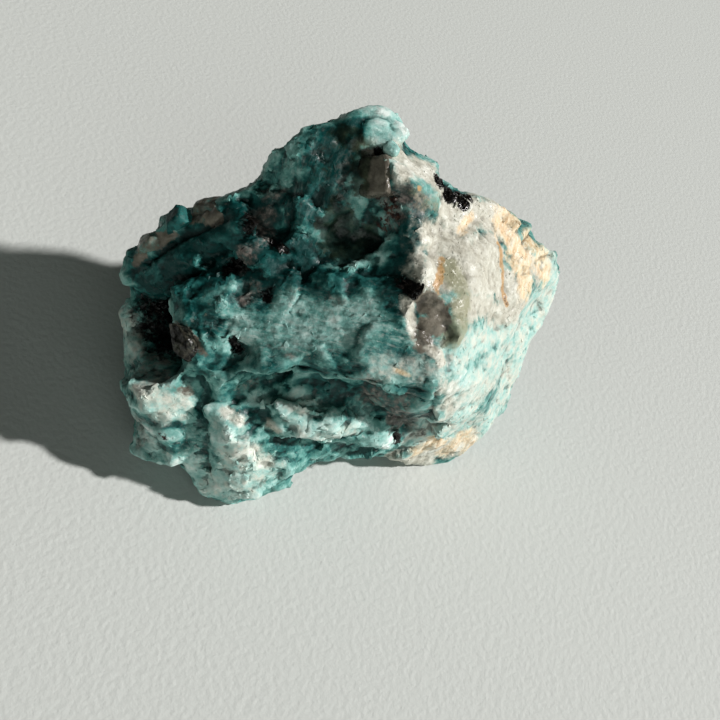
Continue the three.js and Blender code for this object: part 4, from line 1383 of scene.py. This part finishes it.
@dataclass(frozen=True)
class Scatter:
    """Small broken bits that stand on the skin, each partly sunk in it.

    Attributes:
        name: the piece's name.
        bit: what they are, which says where they stand.
        density: how many stand on a square centimetre where their layer is 1.
        size: the smallest and the largest, in millimetres.
        shape: how long, broad and thick a bit is, in its own sizes.
        corners: how many corners a bit is broken from.
        sink: how far a bit's middle lies below the skin, in its own sizes.
        tip: how far a bit leans away from the skin's way out, in radians.
        seed: fixes their shapes and places.
        SHAPES: how many shapes there are to pick from.
        REACH: how far from the middle a corner may lie, in the bit's own sizes.
        TURN: how far a bit turns about the skin's way out, in radians.
    """

    name: str
    bit: Bit
    density: float
    size: tuple[float, float]
    shape: Point
    corners: int
    sink: float
    tip: float
    seed: int

    SHAPES = 7
    REACH = (0.42, 0.58)
    TURN = 3.1

    def build(self, stone: bpy.types.Object, finish: bpy.types.Material) -> bpy.types.Object:
        """Scatters the bits over the stone.

        Args:
            stone: the stone, with its layers.
            finish: the bits' material.

        Returns:
            One object with all the bits.
        """
        shapes = self.broken_shapes()
        carrier = place_object(self.name + "_carrier", stone.data)
        modifier = carrier.modifiers.new("scatter", "NODES")
        modifier.node_group = self.tree(shapes, finish)
        inputs = {
            "Density": self.density / (10 * MM) ** 2,
            "Smallest": self.size[0] * MM,
            "Largest": self.size[1] * MM,
            "Tip": self.tip,
            "Seed": self.seed,
        }
        for socket in modifier.node_group.interface.items_tree:
            if socket.name in inputs:
                modifier[socket.identifier] = inputs[socket.name]
        ready = carrier.evaluated_get(bpy.context.evaluated_depsgraph_get())
        mesh = bpy.data.meshes.new_from_object(ready)
        mesh.name = self.name
        carrier.modifiers.remove(modifier)
        bpy.data.objects.remove(carrier)
        for shape in list(shapes.objects):
            bpy.data.objects.remove(shape)
        bpy.data.collections.remove(shapes)
        return place_object(self.name, mesh)

    def broken_shapes(self) -> bpy.types.Collection:
        """Makes a few bits, each the hull of random corners, in a collection outside the scene."""
        draws = np.random.default_rng(self.seed)
        shapes = bpy.data.collections.new(self.name + "_shapes")
        for number in range(self.SHAPES):
            work = bmesh.new()
            for _ in range(self.corners):
                way = draws.normal(size=3)
                spot = way / np.linalg.norm(way) * draws.uniform(*self.REACH) * np.array(self.shape)
                work.verts.new(Vector(spot) - Vector((0, 0, self.sink)))
            bmesh.ops.convex_hull(work, input=work.verts)
            bmesh.ops.recalc_face_normals(work, faces=work.faces)
            mesh = bpy.data.meshes.new(f"{self.name}_shape_{number}")
            work.to_mesh(mesh)
            work.free()
            shapes.objects.link(bpy.data.objects.new(mesh.name, mesh))
        return shapes

    def tree(self, shapes: bpy.types.Collection, finish: bpy.types.Material) -> bpy.types.NodeTree:
        """Wires the nodes that stand the shapes on a surface.

        Args:
            shapes: what to stand there.
            finish: their material.

        Returns:
            The node tree.
        """
        tree = bpy.data.node_groups.new(self.name, "GeometryNodeTree")
        tree.interface.new_socket("Geometry", in_out="INPUT", socket_type="NodeSocketGeometry")
        for name in ("Density", "Smallest", "Largest", "Tip"):
            tree.interface.new_socket(name, in_out="INPUT", socket_type="NodeSocketFloat")
        tree.interface.new_socket("Seed", in_out="INPUT", socket_type="NodeSocketInt")
        tree.interface.new_socket("Geometry", in_out="OUTPUT", socket_type="NodeSocketGeometry")
        given = tree.nodes.new("NodeGroupInput").outputs
        result = tree.nodes.new("NodeGroupOutput")

        def node(kind: str, **inputs: Socket | float | str) -> bpy.types.Node:
            """Adds a node, and links or sets its inputs by name."""
            made = tree.nodes.new(kind)
            for key, value in inputs.items():
                join(tree, value, made.inputs[key.replace("_", " ")])
            return made

        def product(one: Socket | float, two: Socket | float) -> Socket:
            """Multiplies two numbers."""
            times = tree.nodes.new("ShaderNodeMath")
            times.operation = "MULTIPLY"
            join(tree, one, times.inputs[0])
            join(tree, two, times.inputs[1])
            return times.outputs[0]

        def random(low: Socket | float, high: Socket | float) -> Socket:
            """A random number for each bit, with a seed of its own from the count of nodes so far."""
            drawn = tree.nodes.new("FunctionNodeRandomValue")
            join(tree, low, drawn.inputs[2])
            join(tree, high, drawn.inputs[3])
            drawn.inputs["Seed"].default_value = self.seed + len(tree.nodes)
            return drawn.outputs[1]

        where = node("GeometryNodeInputNamedAttribute", Name=self.bit.value)
        spread = node(
            "GeometryNodeDistributePointsOnFaces",
            Mesh=given["Geometry"],
            Density=product(given["Density"], where.outputs[0]),
            Seed=given["Seed"],
        )
        lean = node(
            "ShaderNodeCombineXYZ",
            X=random(product(given["Tip"], -1), given["Tip"]),
            Z=random(-self.TURN, self.TURN),
        )
        turned = node("FunctionNodeRotateRotation", Rotation=spread.outputs["Rotation"])
        turned.rotation_space = "LOCAL"
        turn = node("FunctionNodeEulerToRotation", Euler=lean.outputs[0])
        tree.links.new(turn.outputs[0], turned.inputs[1])
        stock = node(
            "GeometryNodeCollectionInfo", Collection=shapes, Separate_Children=True, Reset_Children=True
        )
        stand = node(
            "GeometryNodeInstanceOnPoints",
            Points=spread.outputs["Points"],
            Instance=stock.outputs[0],
            Pick_Instance=True,
            Rotation=turned.outputs[0],
            Scale=random(given["Smallest"], given["Largest"]),
        )
        real = node("GeometryNodeRealizeInstances", Geometry=stand.outputs[0])
        dressed = node("GeometryNodeSetMaterial", Geometry=real.outputs[0], Material=finish)
        tree.links.new(dressed.outputs[0], result.inputs[0])
        return tree


SCATTERS: tuple[Scatter, ...] = (
    Scatter(
        name="feldspar_crumbs", bit=Bit.CRUMB, density=90, size=(0.5, 1.5),
        shape=(1.4, 1.1, 0.7), corners=12, sink=0.22, tip=0.35, seed=11,
    ),
    Scatter(
        name="quartz_grains", bit=Bit.GRAIN, density=260, size=(0.3, 0.8),
        shape=(1.1, 1.0, 0.8), corners=14, sink=0.26, tip=0.3, seed=12,
    ),
    Scatter(
        name="mica_flakes", bit=Bit.FLAKE, density=330, size=(0.6, 1.6),
        shape=(1.2, 1.0, 0.2), corners=16, sink=0.1, tip=1.3, seed=13,
    ),
)


# ---- finishes


def tint(code: str) -> tuple[float, float, float, float]:
    """Turns a colour code such as 3f9a94 into the linear colour that shaders take.

    Args:
        code: six hexadecimal digits, red, green and blue.

    Returns:
        Red, green, blue and 1.
    """
    parts = [int(code[i : i + 2], 16) / 255 for i in (0, 2, 4)]
    return (*(p / 12.92 if p <= 0.04045 else ((p + 0.055) / 1.055) ** 2.4 for p in parts), 1.0)


class Bench:
    """Shader nodes wired in few words."""

    def __init__(self, name: str) -> None:
        """Starts an empty material, and reads the object's own places in millimetres."""
        self.material = bpy.data.materials.new(name)
        self.material.use_nodes = True
        self.tree = self.material.node_tree
        self.tree.nodes.clear()
        coordinates = self.tree.nodes.new("ShaderNodeTexCoord").outputs["Object"]
        self.place = self.vector("SCALE", coordinates, scale=1 / MM)

    def join(self, source: Socket | float | tuple, target: Socket) -> None:
        """Links a socket to another, or sets its value."""
        join(self.tree, source, target)

    def dressed(self, inputs: dict[str, Socket | float | tuple]) -> bpy.types.Material:
        """Ends the material with a shader, whose inputs are given by the names of their sockets."""
        shader = self.tree.nodes.new("ShaderNodeBsdfPrincipled")
        for name, source in inputs.items():
            self.join(source, shader.inputs[name])
        output = self.tree.nodes.new("ShaderNodeOutputMaterial")
        self.join(shader.outputs[0], output.inputs["Surface"])
        return self.material

    def sum(self, operation: str, *values: Socket | float) -> Socket:
        """One Math node, with its inputs in order."""
        node = self.tree.nodes.new("ShaderNodeMath")
        node.operation = operation
        for value, target in zip(values, node.inputs):
            self.join(value, target)
        return node.outputs[0]

    def times(self, one: Socket, two: Socket | float) -> Socket:
        """Multiplies two numbers."""
        return self.sum("MULTIPLY", one, two)

    def total(self, *terms: tuple[Socket, float], start: float = 0.0) -> Socket:
        """Adds up pairs of a socket and its share, from a starting number on."""
        whole: Socket | float = start
        for source, share in terms:
            whole = self.sum("MULTIPLY_ADD", source, share, whole)
        return whole

    def layer(self, name: str) -> Socket:
        """A layer of the mesh by its name."""
        node = self.tree.nodes.new("ShaderNodeAttribute")
        node.attribute_name = name
        return node.outputs["Fac"]

    def noise(
        self, size: float, detail: float = 3, rough: float = 0.5, twist: float = 0, at: Socket | None = None
    ) -> Socket:
        """Cloudy noise around 0.5.

        Args:
            size: the size of its swells in millimetres.
            detail: how many finer octaves it has.
            rough: how strong those are.
            twist: how far it is distorted.
            at: where it is read, or the object's own place.

        Returns:
            The noise.
        """
        node = self.tree.nodes.new("ShaderNodeTexNoise")
        self.join(at or self.place, node.inputs["Vector"])
        node.inputs["Scale"].default_value = 1 / size
        node.inputs["Detail"].default_value = detail
        node.inputs["Roughness"].default_value = rough
        node.inputs["Distortion"].default_value = twist
        return node.outputs["Fac"]

    def grains(self, size: float) -> bpy.types.bpy_prop_collection:
        """The outputs of a Voronoi texture with cells of a size in millimetres."""
        node = self.tree.nodes.new("ShaderNodeTexVoronoi")
        self.join(self.place, node.inputs["Vector"])
        node.inputs["Scale"].default_value = 1 / size
        return node.outputs

    def luck(self, size: float, channel: int) -> Socket:
        """A random number for each cell of a size in millimetres. Each channel draws its own."""
        node = self.tree.nodes.new("ShaderNodeSeparateColor")
        self.join(self.grains(size)["Color"], node.inputs[0])
        return node.outputs[channel]

    def along(self, direction: Point, stretch: float) -> Socket:
        """The place to read a texture at so that it is drawn out some times along a direction."""
        node = self.tree.nodes.new("ShaderNodeMapping")
        node.vector_type = "TEXTURE"
        self.join(self.place, node.inputs["Vector"])
        node.inputs["Rotation"].default_value = Vector(direction).to_track_quat("X", "Z").to_euler()
        node.inputs["Scale"].default_value = (stretch, 1, 1)
        return node.outputs[0]

    def span(self, value: Socket, low: float, high: float, to_low: float = 0, to_high: float = 1) -> Socket:
        """Eases a value from one range to another.

        Args:
            value: what comes in.
            low: the value that gives to_low.
            high: the value that gives to_high.
            to_low: the result at low.
            to_high: the result at high.

        Returns:
            The eased value, held inside the new range.
        """
        node = self.tree.nodes.new("ShaderNodeMapRange")
        node.interpolation_type = "SMOOTHSTEP"
        for index, number in enumerate((value, low, high, to_low, to_high)):
            self.join(number, node.inputs[index])
        return node.outputs[0]

    def ramp(self, value: Socket, *stops: tuple[float, str]) -> Socket:
        """Turns a value into a colour by stops, which are pairs of a value and a colour code."""
        node = self.tree.nodes.new("ShaderNodeValToRGB")
        self.join(value, node.inputs["Fac"])
        elements = node.color_ramp.elements
        while len(elements) < len(stops):
            elements.new(0.5)
        for element, (spot, code) in zip(elements, stops):
            element.position = spot
            element.color = tint(code)
        return node.outputs["Color"]

    def mix(
        self, share: Socket | float, under: Socket | tuple, over: Socket | tuple, way: str = "MIX"
    ) -> Socket:
        """Lays one colour over another.

        Args:
            share: how much of the upper one shows.
            under: the lower colour.
            over: the upper colour.
            way: the blend type.

        Returns:
            The mixed colour.
        """
        node = self.tree.nodes.new("ShaderNodeMix")
        node.data_type = "RGBA"
        node.blend_type = way
        node.clamp_factor = True
        self.join(share, node.inputs["Factor"])
        self.join(under, node.inputs[6])
        self.join(over, node.inputs[7])
        return node.outputs[2]

    def vector(self, operation: str, *vectors: Socket | tuple, scale: float | None = None) -> Socket:
        """One Vector Math node, with its vectors in order and its scale where it takes one."""
        node = self.tree.nodes.new("ShaderNodeVectorMath")
        node.operation = operation
        for value, target in zip(vectors, node.inputs):
            self.join(value, target)
        if scale is not None:
            node.inputs["Scale"].default_value = scale
        return node.outputs[0]

    def bump(self, height: Socket, depth: float, share: float, normal: Socket | None = None) -> Socket:
        """Turns a height into a bent normal.

        Args:
            height: from 0 to 1.
            depth: what 1 stands for, in millimetres.
            share: how much of it is used.
            normal: the normal to bend, or the skin's own.

        Returns:
            The bent normal.
        """
        node = self.tree.nodes.new("ShaderNodeBump")
        node.inputs["Distance"].default_value = depth * MM
        node.inputs["Strength"].default_value = share
        self.join(height, node.inputs["Height"])
        if normal is not None:
            self.join(normal, node.inputs["Normal"])
        return node.outputs[0]


@dataclass(frozen=True)
class Coat:
    """The colour of one mineral, laid over the skin where its layer shows.

    Attributes:
        mineral: which mineral it is.
        share: how much it hides what lies under it, from 0 to 1.
        tones: its colour codes, from dark to light, or a single one.
        places: the value of the noise at each tone, where there are several.
        size: the size of the noise's swells, in millimetres.
        detail: how many finer octaves the noise has.
        rough: how strong those are.
    """

    mineral: Mineral
    share: float
    tones: tuple[str, ...]
    places: tuple[float, ...] = ()
    size: float = 1.0
    detail: float = 3
    rough: float = 0.5

    def lay(self, bench: Bench, mask: Socket, skin: Socket, noise: Socket | None = None) -> Socket:
        """Lays the coat over the skin.

        Args:
            bench: the nodes.
            mask: where the mineral shows.
            skin: the colour so far.
            noise: what the tones follow, or the coat's own noise.

        Returns:
            The coated colour.
        """
        colour = tint(self.tones[0])
        if self.places:
            noise = noise or bench.noise(self.size, self.detail, self.rough)
            colour = bench.ramp(noise, *zip(self.places, self.tones))
        return bench.mix(bench.times(mask, self.share), skin, colour)


@dataclass(frozen=True)
class StoneFinish:
    """Colour, gloss and grain of every mineral on the stone.

    Attributes:
        name: the material's name.
        feldspar: tones of the green-blue feldspar, from darkest to bleached.
        places: where each of those lies, from the darkest tone to the palest.
        brown: tones of the pinkish grey grains.
        white: the palest flecks and streaks.
        coats: the other minerals, in the order in which they are laid.
        changes: how much glossier, below zero, or more matt each mineral is than feldspar.
        matt: the roughness of plain feldspar.
        glossiest: the least roughness that any place has.
        gloss: how strongly the stone mirrors the light.
        ior: its refractive index.
        lean: the sizes of the tiny cleavage faces in millimetres, and how far they lean.
        SOFT: the minerals whose patches have a wide soft edge.
        STRETCH: how many times longer than wide streaks are.
    """

    name: str = "amazonite"
    feldspar: tuple[str, ...] = ("033a38", "246460", "60978f", "8cb9b2", "afcfc8", "dbe7e2")
    places: tuple[float, ...] = (0.0, 0.24, 0.46, 0.64, 0.82, 1.0)
    brown: tuple[str, ...] = ("45403c", "7a6d67", "a99b93")
    white: str = "dfe6df"
    coats: tuple[Coat, ...] = (
        Coat(
            Mineral.MILK, 0.85, ("93c0b9", "b2ccc3", "c9d0c5", "d8d4c5"), (0.34, 0.46, 0.56, 0.68),
            size=1.9, detail=5, rough=0.65,
        ),
        Coat(Mineral.QUARTZ, 1.0, ("8c897c", "aba89a", "c1c0b3", "dedfd5"), (0.1, 0.35, 0.6, 0.85)),
        Coat(Mineral.VEIN, 0.8, ("868669",)),
        Coat(Mineral.STAIN, 0.8, ("c9a070", "e3cba5", "ebe3d0"), (0.34, 0.5, 0.66)),
        Coat(Mineral.AMBER, 0.75, ("b58a52",)),
        Coat(Mineral.SMOKY, 1.0, ("57524a", "6b665b", "827c70"), (0.35, 0.52, 0.7), size=2.2),
        Coat(Mineral.OLIVE, 0.85, ("0b110b", "1f2a1f", "434e3c"), (0.38, 0.55, 0.75), size=1.8),
        Coat(Mineral.RUST, 1.0, ("120a09", "2c1713", "54382a"), (0.35, 0.5, 0.66), size=0.8, rough=0.6),
        Coat(Mineral.MICA, 1.0, ("050506", "15120f", "3b342d"), (0.4, 0.6, 0.78), size=0.5, rough=0.6),
    )
    changes: tuple[tuple[Mineral, float], ...] = (
        (Mineral.QUARTZ, -0.1),
        (Mineral.SMOKY, -0.28),
        (Mineral.OLIVE, -0.25),
        (Mineral.MICA, -0.22),
        (Mineral.STAIN, 0.12),
        (Mineral.RUST, 0.1),
    )
    matt: float = 0.56
    glossiest: float = 0.12
    gloss: float = 0.22
    ior: float = 1.53
    lean: tuple[tuple[float, float], ...] = ((0.85, 0.24), (0.42, 0.2))

    SOFT = (Mineral.QUARTZ, Mineral.STAIN, Mineral.MILK, Mineral.VEIN, Mineral.BROWN)
    STRETCH = 5

    def make(self) -> bpy.types.Material:
        """Wires the finish."""
        bench = Bench(self.name)
        masks = self.masks(bench)
        return bench.dressed({
            "Base Color": self.colour(bench, masks),
            "Roughness": self.roughness(bench, masks),
            "Normal": self.grain(bench, masks),
            "IOR": self.ior,
            "Specular IOR Level": self.gloss,
        })

    def masks(self, bench: Bench) -> dict[Mineral, Socket]:
        """Where each mineral shows, with edges that follow a fine noise.

        Args:
            bench: the nodes.

        Returns:
            A share from 0 to 1 for each mineral.
        """
        coarse = bench.noise(1.6, 4, 0.6)
        fine = bench.noise(0.55, 3, 0.6)
        edge = bench.total((coarse, 0.9), (fine, 0.7), start=-0.8)
        found = {}
        for mineral in Mineral:
            ragged = bench.sum("ADD", bench.layer(mineral.value), bench.times(edge, 0.8))
            low, high = (0.12, 0.88) if mineral in self.SOFT else (0.3, 0.7)
            found[mineral] = bench.span(ragged, low, high)
        return found

    def colour(self, bench: Bench, masks: dict[Mineral, Socket]) -> Socket:
        """Lays the minerals over the feldspar, and paints shade into the crevices.

        Args:
            bench: the nodes.
            masks: where each mineral shows.

        Returns:
            The colour of the skin.
        """
        # How far the skin stands out. The finish uses it to paint shade into hollows and light onto raised
        # places.
        relief = bench.layer("relief")
        luck = bench.luck(0.8, 0)
        pale = bench.layer(Mineral.PALE.value)
        # The darkest feldspar, partly painted shade.
        deep = bench.layer(Mineral.DEEP.value)
        skin = self.streaks(bench, self.bare_feldspar(bench, relief, luck), deep)
        flecks = bench.span(bench.noise(0.5, 5, 0.75), 0.56, 0.68)
        # More white flecks on raised places and fewer in hollows: a little painted light and shade.
        amount = bench.total((pale, 0.45), (relief, 0.2), (deep, -0.3))
        skin = bench.mix(bench.times(flecks, amount), skin, tint(self.white))
        skin = self.brown_grains(bench, skin, masks[Mineral.BROWN], deep)
        # The quartz's sugar is paler on raised places: a little painted light.
        sugar = bench.total(
            (bench.noise(1.6, 4, 0.6), 0.7), (luck, 0.2), (relief, 0.3), (pale, 0.25), start=-0.1
        )
        combed = bench.noise(0.9, 4, 0.7, 0.3, bench.along(LAY_WAYS[Lay.FACE], self.STRETCH / 2))
        noises = {Mineral.QUARTZ: sugar, Mineral.STAIN: combed}
        specks = bench.span(bench.noise(0.9, 4, 0.7), 0.42, 0.56)
        shown = {**masks, Mineral.RUST: bench.times(masks[Mineral.RUST], specks)}
        for coat in self.coats:
            skin = coat.lay(bench, shown[coat.mineral], skin, noises.get(coat.mineral))
        # Painted shade: the colour is darkened in the skin's hollows, less on quartz.
        crevice_shade_floor = bench.sum("MULTIPLY_ADD", masks[Mineral.QUARTZ], 0.34, 0.48)
        painted_crevice_shade = bench.span(relief, 0.08, 0.42, crevice_shade_floor, 1)
        return bench.mix(1.0, skin, painted_crevice_shade, "MULTIPLY")

    def bare_feldspar(self, bench: Bench, relief: Socket, luck: Socket) -> Socket:
        """The feldspar's colour, cloudy and a little different on each chip, with painted shade in the
        hollows and painted light on raised places.

        Args:
            bench: the nodes.
            relief: how far the skin stands out, which sets the painted shade in hollows and the painted
                light on raised places.
            luck: a random number for each small cleavage face.

        Returns:
            The colour.
        """
        tone = bench.total(
            (bench.noise(5.5, 3, 0.55), 0.62),
            (bench.noise(1.3, 6, 0.72), 0.42),
            (bench.layer("tone_1"), 0.22),
            (bench.layer("tone_2"), 0.14),
            # Lighter on raised places and darker in hollows: painted light and shade.
            (luck, 0.15),
            (relief, 0.34),
            (bench.layer(Mineral.PALE.value), 0.42),
            # Darker where the deep layer lies, partly painted shade.
            (bench.layer(Mineral.DEEP.value), -0.58),
            start=-0.585,
        )
        return bench.ramp(tone, *zip(self.places, self.feldspar))

    def brown_grains(self, bench: Bench, skin: Socket, mask: Socket, deep: Socket) -> Socket:
        """Lays pinkish grey grains where their layer shows, and a few faint ones everywhere.

        Args:
            bench: the nodes.
            skin: the colour so far.
            mask: where the grains' layer shows.
            deep: where the feldspar is darkest, partly its own deep teal and partly painted shade, which has
                no faint ones.

        Returns:
            The colour with the grains.
        """
        brown = bench.ramp(bench.noise(1.1, 4, 0.6), *zip((0.35, 0.52, 0.68), self.brown))
        faint = bench.span(bench.noise(2.2, 4, 0.65), 0.6, 0.7, 0, 0.3)
        skin = bench.mix(bench.times(faint, bench.sum("SUBTRACT", 1.0, deep)), skin, brown)
        patchy = bench.span(bench.noise(1.5, 4, 0.6), 0.36, 0.56, 0.25, 1)
        return bench.mix(bench.times(bench.times(mask, patchy), 0.75), skin, brown)

    def streaks(self, bench: Bench, skin: Socket, deep: Socket) -> Socket:
        """Lays pale and dark streaks over the feldspar, each lay its own way.

        Args:
            bench: the nodes.
            skin: the colour so far.
            deep: where the feldspar is darkest, partly its own deep teal and partly painted shade, which has
                fainter pale streaks.

        Returns:
            The streaked colour.
        """
        clear = bench.sum("MULTIPLY_ADD", deep, -0.3, 0.4)
        for lay, direction in LAY_WAYS.items():
            place = bench.along(direction, self.STRETCH)
            pale = bench.span(bench.noise(0.6, 4, 0.65, 0.6, place), 0.48, 0.7)
            dark = bench.span(bench.noise(1.3, 4, 0.6, 0.3, place), 0.5, 0.32)
            share = bench.layer(lay.value)
            skin = bench.mix(bench.times(dark, bench.times(share, 0.42)), skin, tint(self.feldspar[1]))
            skin = bench.mix(bench.times(pale, bench.times(share, clear)), skin, tint(self.white))
        return skin

    def roughness(self, bench: Bench, masks: dict[Mineral, Socket]) -> Socket:
        """Matt where crumbly, glossy on mica, smoky quartz and fresh cleavage.

        Args:
            bench: the nodes.
            masks: where each mineral shows.

        Returns:
            The roughness.
        """
        fresh = bench.span(bench.luck(1.2, 1), 0.72, 0.8, 0, 1)
        rough = bench.sum("MULTIPLY_ADD", fresh, -0.2, self.matt)
        for mineral, change in self.changes:
            rough = bench.sum("MULTIPLY_ADD", masks[mineral], change, rough)
        return bench.sum("MAXIMUM", rough, self.glossiest)

    def grain(self, bench: Bench, masks: dict[Mineral, Socket]) -> Socket:
        """Bends the normal by tiny cleavage faces, crumbs and sugary grains.

        Args:
            bench: the nodes.
            masks: where each mineral shows.

        Returns:
            The bent normal.
        """
        normal = bench.tree.nodes.new("ShaderNodeNewGeometry").outputs["Normal"]
        for size, share in self.lean:
            lean = bench.vector("SUBTRACT", bench.grains(size)["Color"], (0.5, 0.5, 0.5))
            normal = bench.vector("ADD", normal, bench.vector("SCALE", lean, scale=share))
        normal = bench.vector("NORMALIZE", normal)
        crumb = bench.total((bench.noise(0.9, 5, 0.7), 0.6), (bench.noise(0.28, 3, 0.6), 0.3))
        sugar = bench.grains(0.55)["Distance"]
        height = bench.sum("MULTIPLY_ADD", bench.times(sugar, masks[Mineral.QUARTZ]), 0.5, crumb)
        return bench.bump(height, 0.13, 0.75, normal)


@dataclass(frozen=True)
class TableFinish:
    """The pale painted table top.

    Attributes:
        name: the material's name.
        colour: its colour code.
        matt: its roughness.
    """

    name: str = "pale_table"
    colour: str = "c8ccc8"
    matt: float = 0.75

    def make(self) -> bpy.types.Material:
        """Wires the finish."""
        bench = Bench(self.name)
        pimples = bench.bump(bench.noise(1.2, 3, 0.5), 0.2, 0.7)
        return bench.dressed({"Base Color": tint(self.colour), "Roughness": self.matt, "Normal": pimples})


# ---- table, light and camera


@dataclass(frozen=True)
class Table:
    """The plain surface that the stone lies on.

    Attributes:
        half: half its width, in metres.
    """

    half: float = 1.5

    def build(self) -> bpy.types.Object:
        """Makes the table top."""
        h = self.half
        mesh = bpy.data.meshes.new("table")
        mesh.from_pydata([(-h, -h, 0), (h, -h, 0), (h, h, 0), (-h, h, 0)], [], [(0, 1, 2, 3)])
        mesh.materials.append(TableFinish().make())
        return place_object("table", mesh)


@dataclass(frozen=True)
class Lamp:
    """One distant light.

    Attributes:
        name: the lamp's name.
        way: towards the lamp.
        power: its strength.
        softness: its width as an angle, in degrees.
        colour: its colour.
        glint: how strongly it shows in gloss.
    """

    name: str
    way: Point
    power: float
    softness: float
    colour: Point
    glint: float

    def build(self) -> None:
        """Makes the light."""
        data = bpy.data.lights.new(self.name, "SUN")
        data.energy = self.power
        data.angle = math.radians(self.softness)
        data.color = self.colour
        data.specular_factor = self.glint
        lamp = place_object(self.name, data)
        lamp.rotation_mode = "QUATERNION"
        lamp.rotation_quaternion = Vector(self.way).to_track_quat("Z", "Y")


@dataclass(frozen=True)
class Studio:
    """Soft light: one key from the right, one wide fill from the front, and the room.

    Attributes:
        lamps: the lights.
        room_colour: the colour of the room's glow.
        room_power: its strength.
        backdrop: what the camera sees beyond the table.
    """

    lamps: tuple[Lamp, ...] = (
        Lamp("key", (0.82, 0.27, 0.68), 4.5, 3.0, (1.0, 0.968, 0.955), 1.0),
        Lamp("fill", (0.55, -0.78, 0.28), 1.04, 60.0, (0.9, 0.97, 0.92), 0.25),
    )
    room_colour: Point = (0.84, 0.9, 0.8)
    room_power: float = 0.03
    backdrop: Point = (0.58, 0.62, 0.56)

    def build(self) -> None:
        """Makes the lights, the room's glow and the backdrop."""
        for lamp in self.lamps:
            lamp.build()
        world = bpy.data.worlds.new("room")
        world.use_nodes = True
        nodes, links = world.node_tree.nodes, world.node_tree.links
        glow = nodes["Background"]
        glow.inputs["Color"].default_value = (*self.room_colour, 1)
        glow.inputs["Strength"].default_value = self.room_power
        seen = nodes.new("ShaderNodeBackground")
        seen.inputs["Color"].default_value = (*self.backdrop, 1)
        mix = nodes.new("ShaderNodeMixShader")
        links.new(nodes.new("ShaderNodeLightPath").outputs["Is Camera Ray"], mix.inputs[0])
        links.new(glow.outputs[0], mix.inputs[1])
        links.new(seen.outputs[0], mix.inputs[2])
        links.new(mix.outputs[0], nodes["World Output"].inputs["Surface"])
        bpy.context.scene.world = world


@dataclass(frozen=True)
class Camera:
    """The camera above the front of the stone, looking down at it.

    Attributes:
        spot: where it is, in millimetres.
        right: the way to the right of its picture.
        down: the way down its picture.
        lens: its focal length, in millimetres.
        sensor: the width of its sensor, in millimetres.
        near: how near it sees, in millimetres.
    """

    spot: Point = (6.15, -94.62, 135.0)
    right: Point = (0.9008, 0.3396, 0.2707)
    down: Point = (0.4343, -0.7044, -0.5614)
    lens: float = 39.05
    sensor: float = 36.0
    near: float = 5.0

    def build(self) -> None:
        """Makes the camera and gives it to the scene."""
        data = bpy.data.cameras.new("camera")
        data.lens = self.lens
        data.sensor_width = self.sensor
        data.clip_start = self.near * MM
        camera = place_object("camera", data)
        right = Vector(self.right).normalized()
        back = right.cross(-Vector(self.down)).normalized()
        up = back.cross(right)
        turn = Matrix((right, up, back)).transposed()
        camera.matrix_world = Matrix.Translation(Vector(self.spot) * MM) @ turn.to_4x4()
        bpy.context.scene.camera = camera


def main() -> None:
    """Builds the stone, what grows in it and stands on it, the table, the light and the camera."""
    logging.basicConfig(level=logging.INFO, format="%(name)s: %(message)s")
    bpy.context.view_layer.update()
    stone = Stone().build(frame["nodes"][NODE])
    finish = StoneFinish().make()
    stone.data.materials.append(finish)
    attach(stone, BODY)
    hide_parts(NODE)
    LOG.info("%s: %d faces", stone.name, len(stone.data.polygons))
    for lump in LUMPS:
        grown = lump.build(finish)
        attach(grown, BODY)
        LOG.info("%s: %d faces", grown.name, len(grown.data.polygons))
    for scatter in SCATTERS:
        bits = scatter.build(stone, finish)
        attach(bits, BODY)
        LOG.info("%s: %d faces", bits.name, len(bits.data.polygons))
    Table().build()
    Studio().build()
    Camera().build()
    bpy.context.scene.view_settings.view_transform = "Standard"


if __name__ == "__main__":
    main()
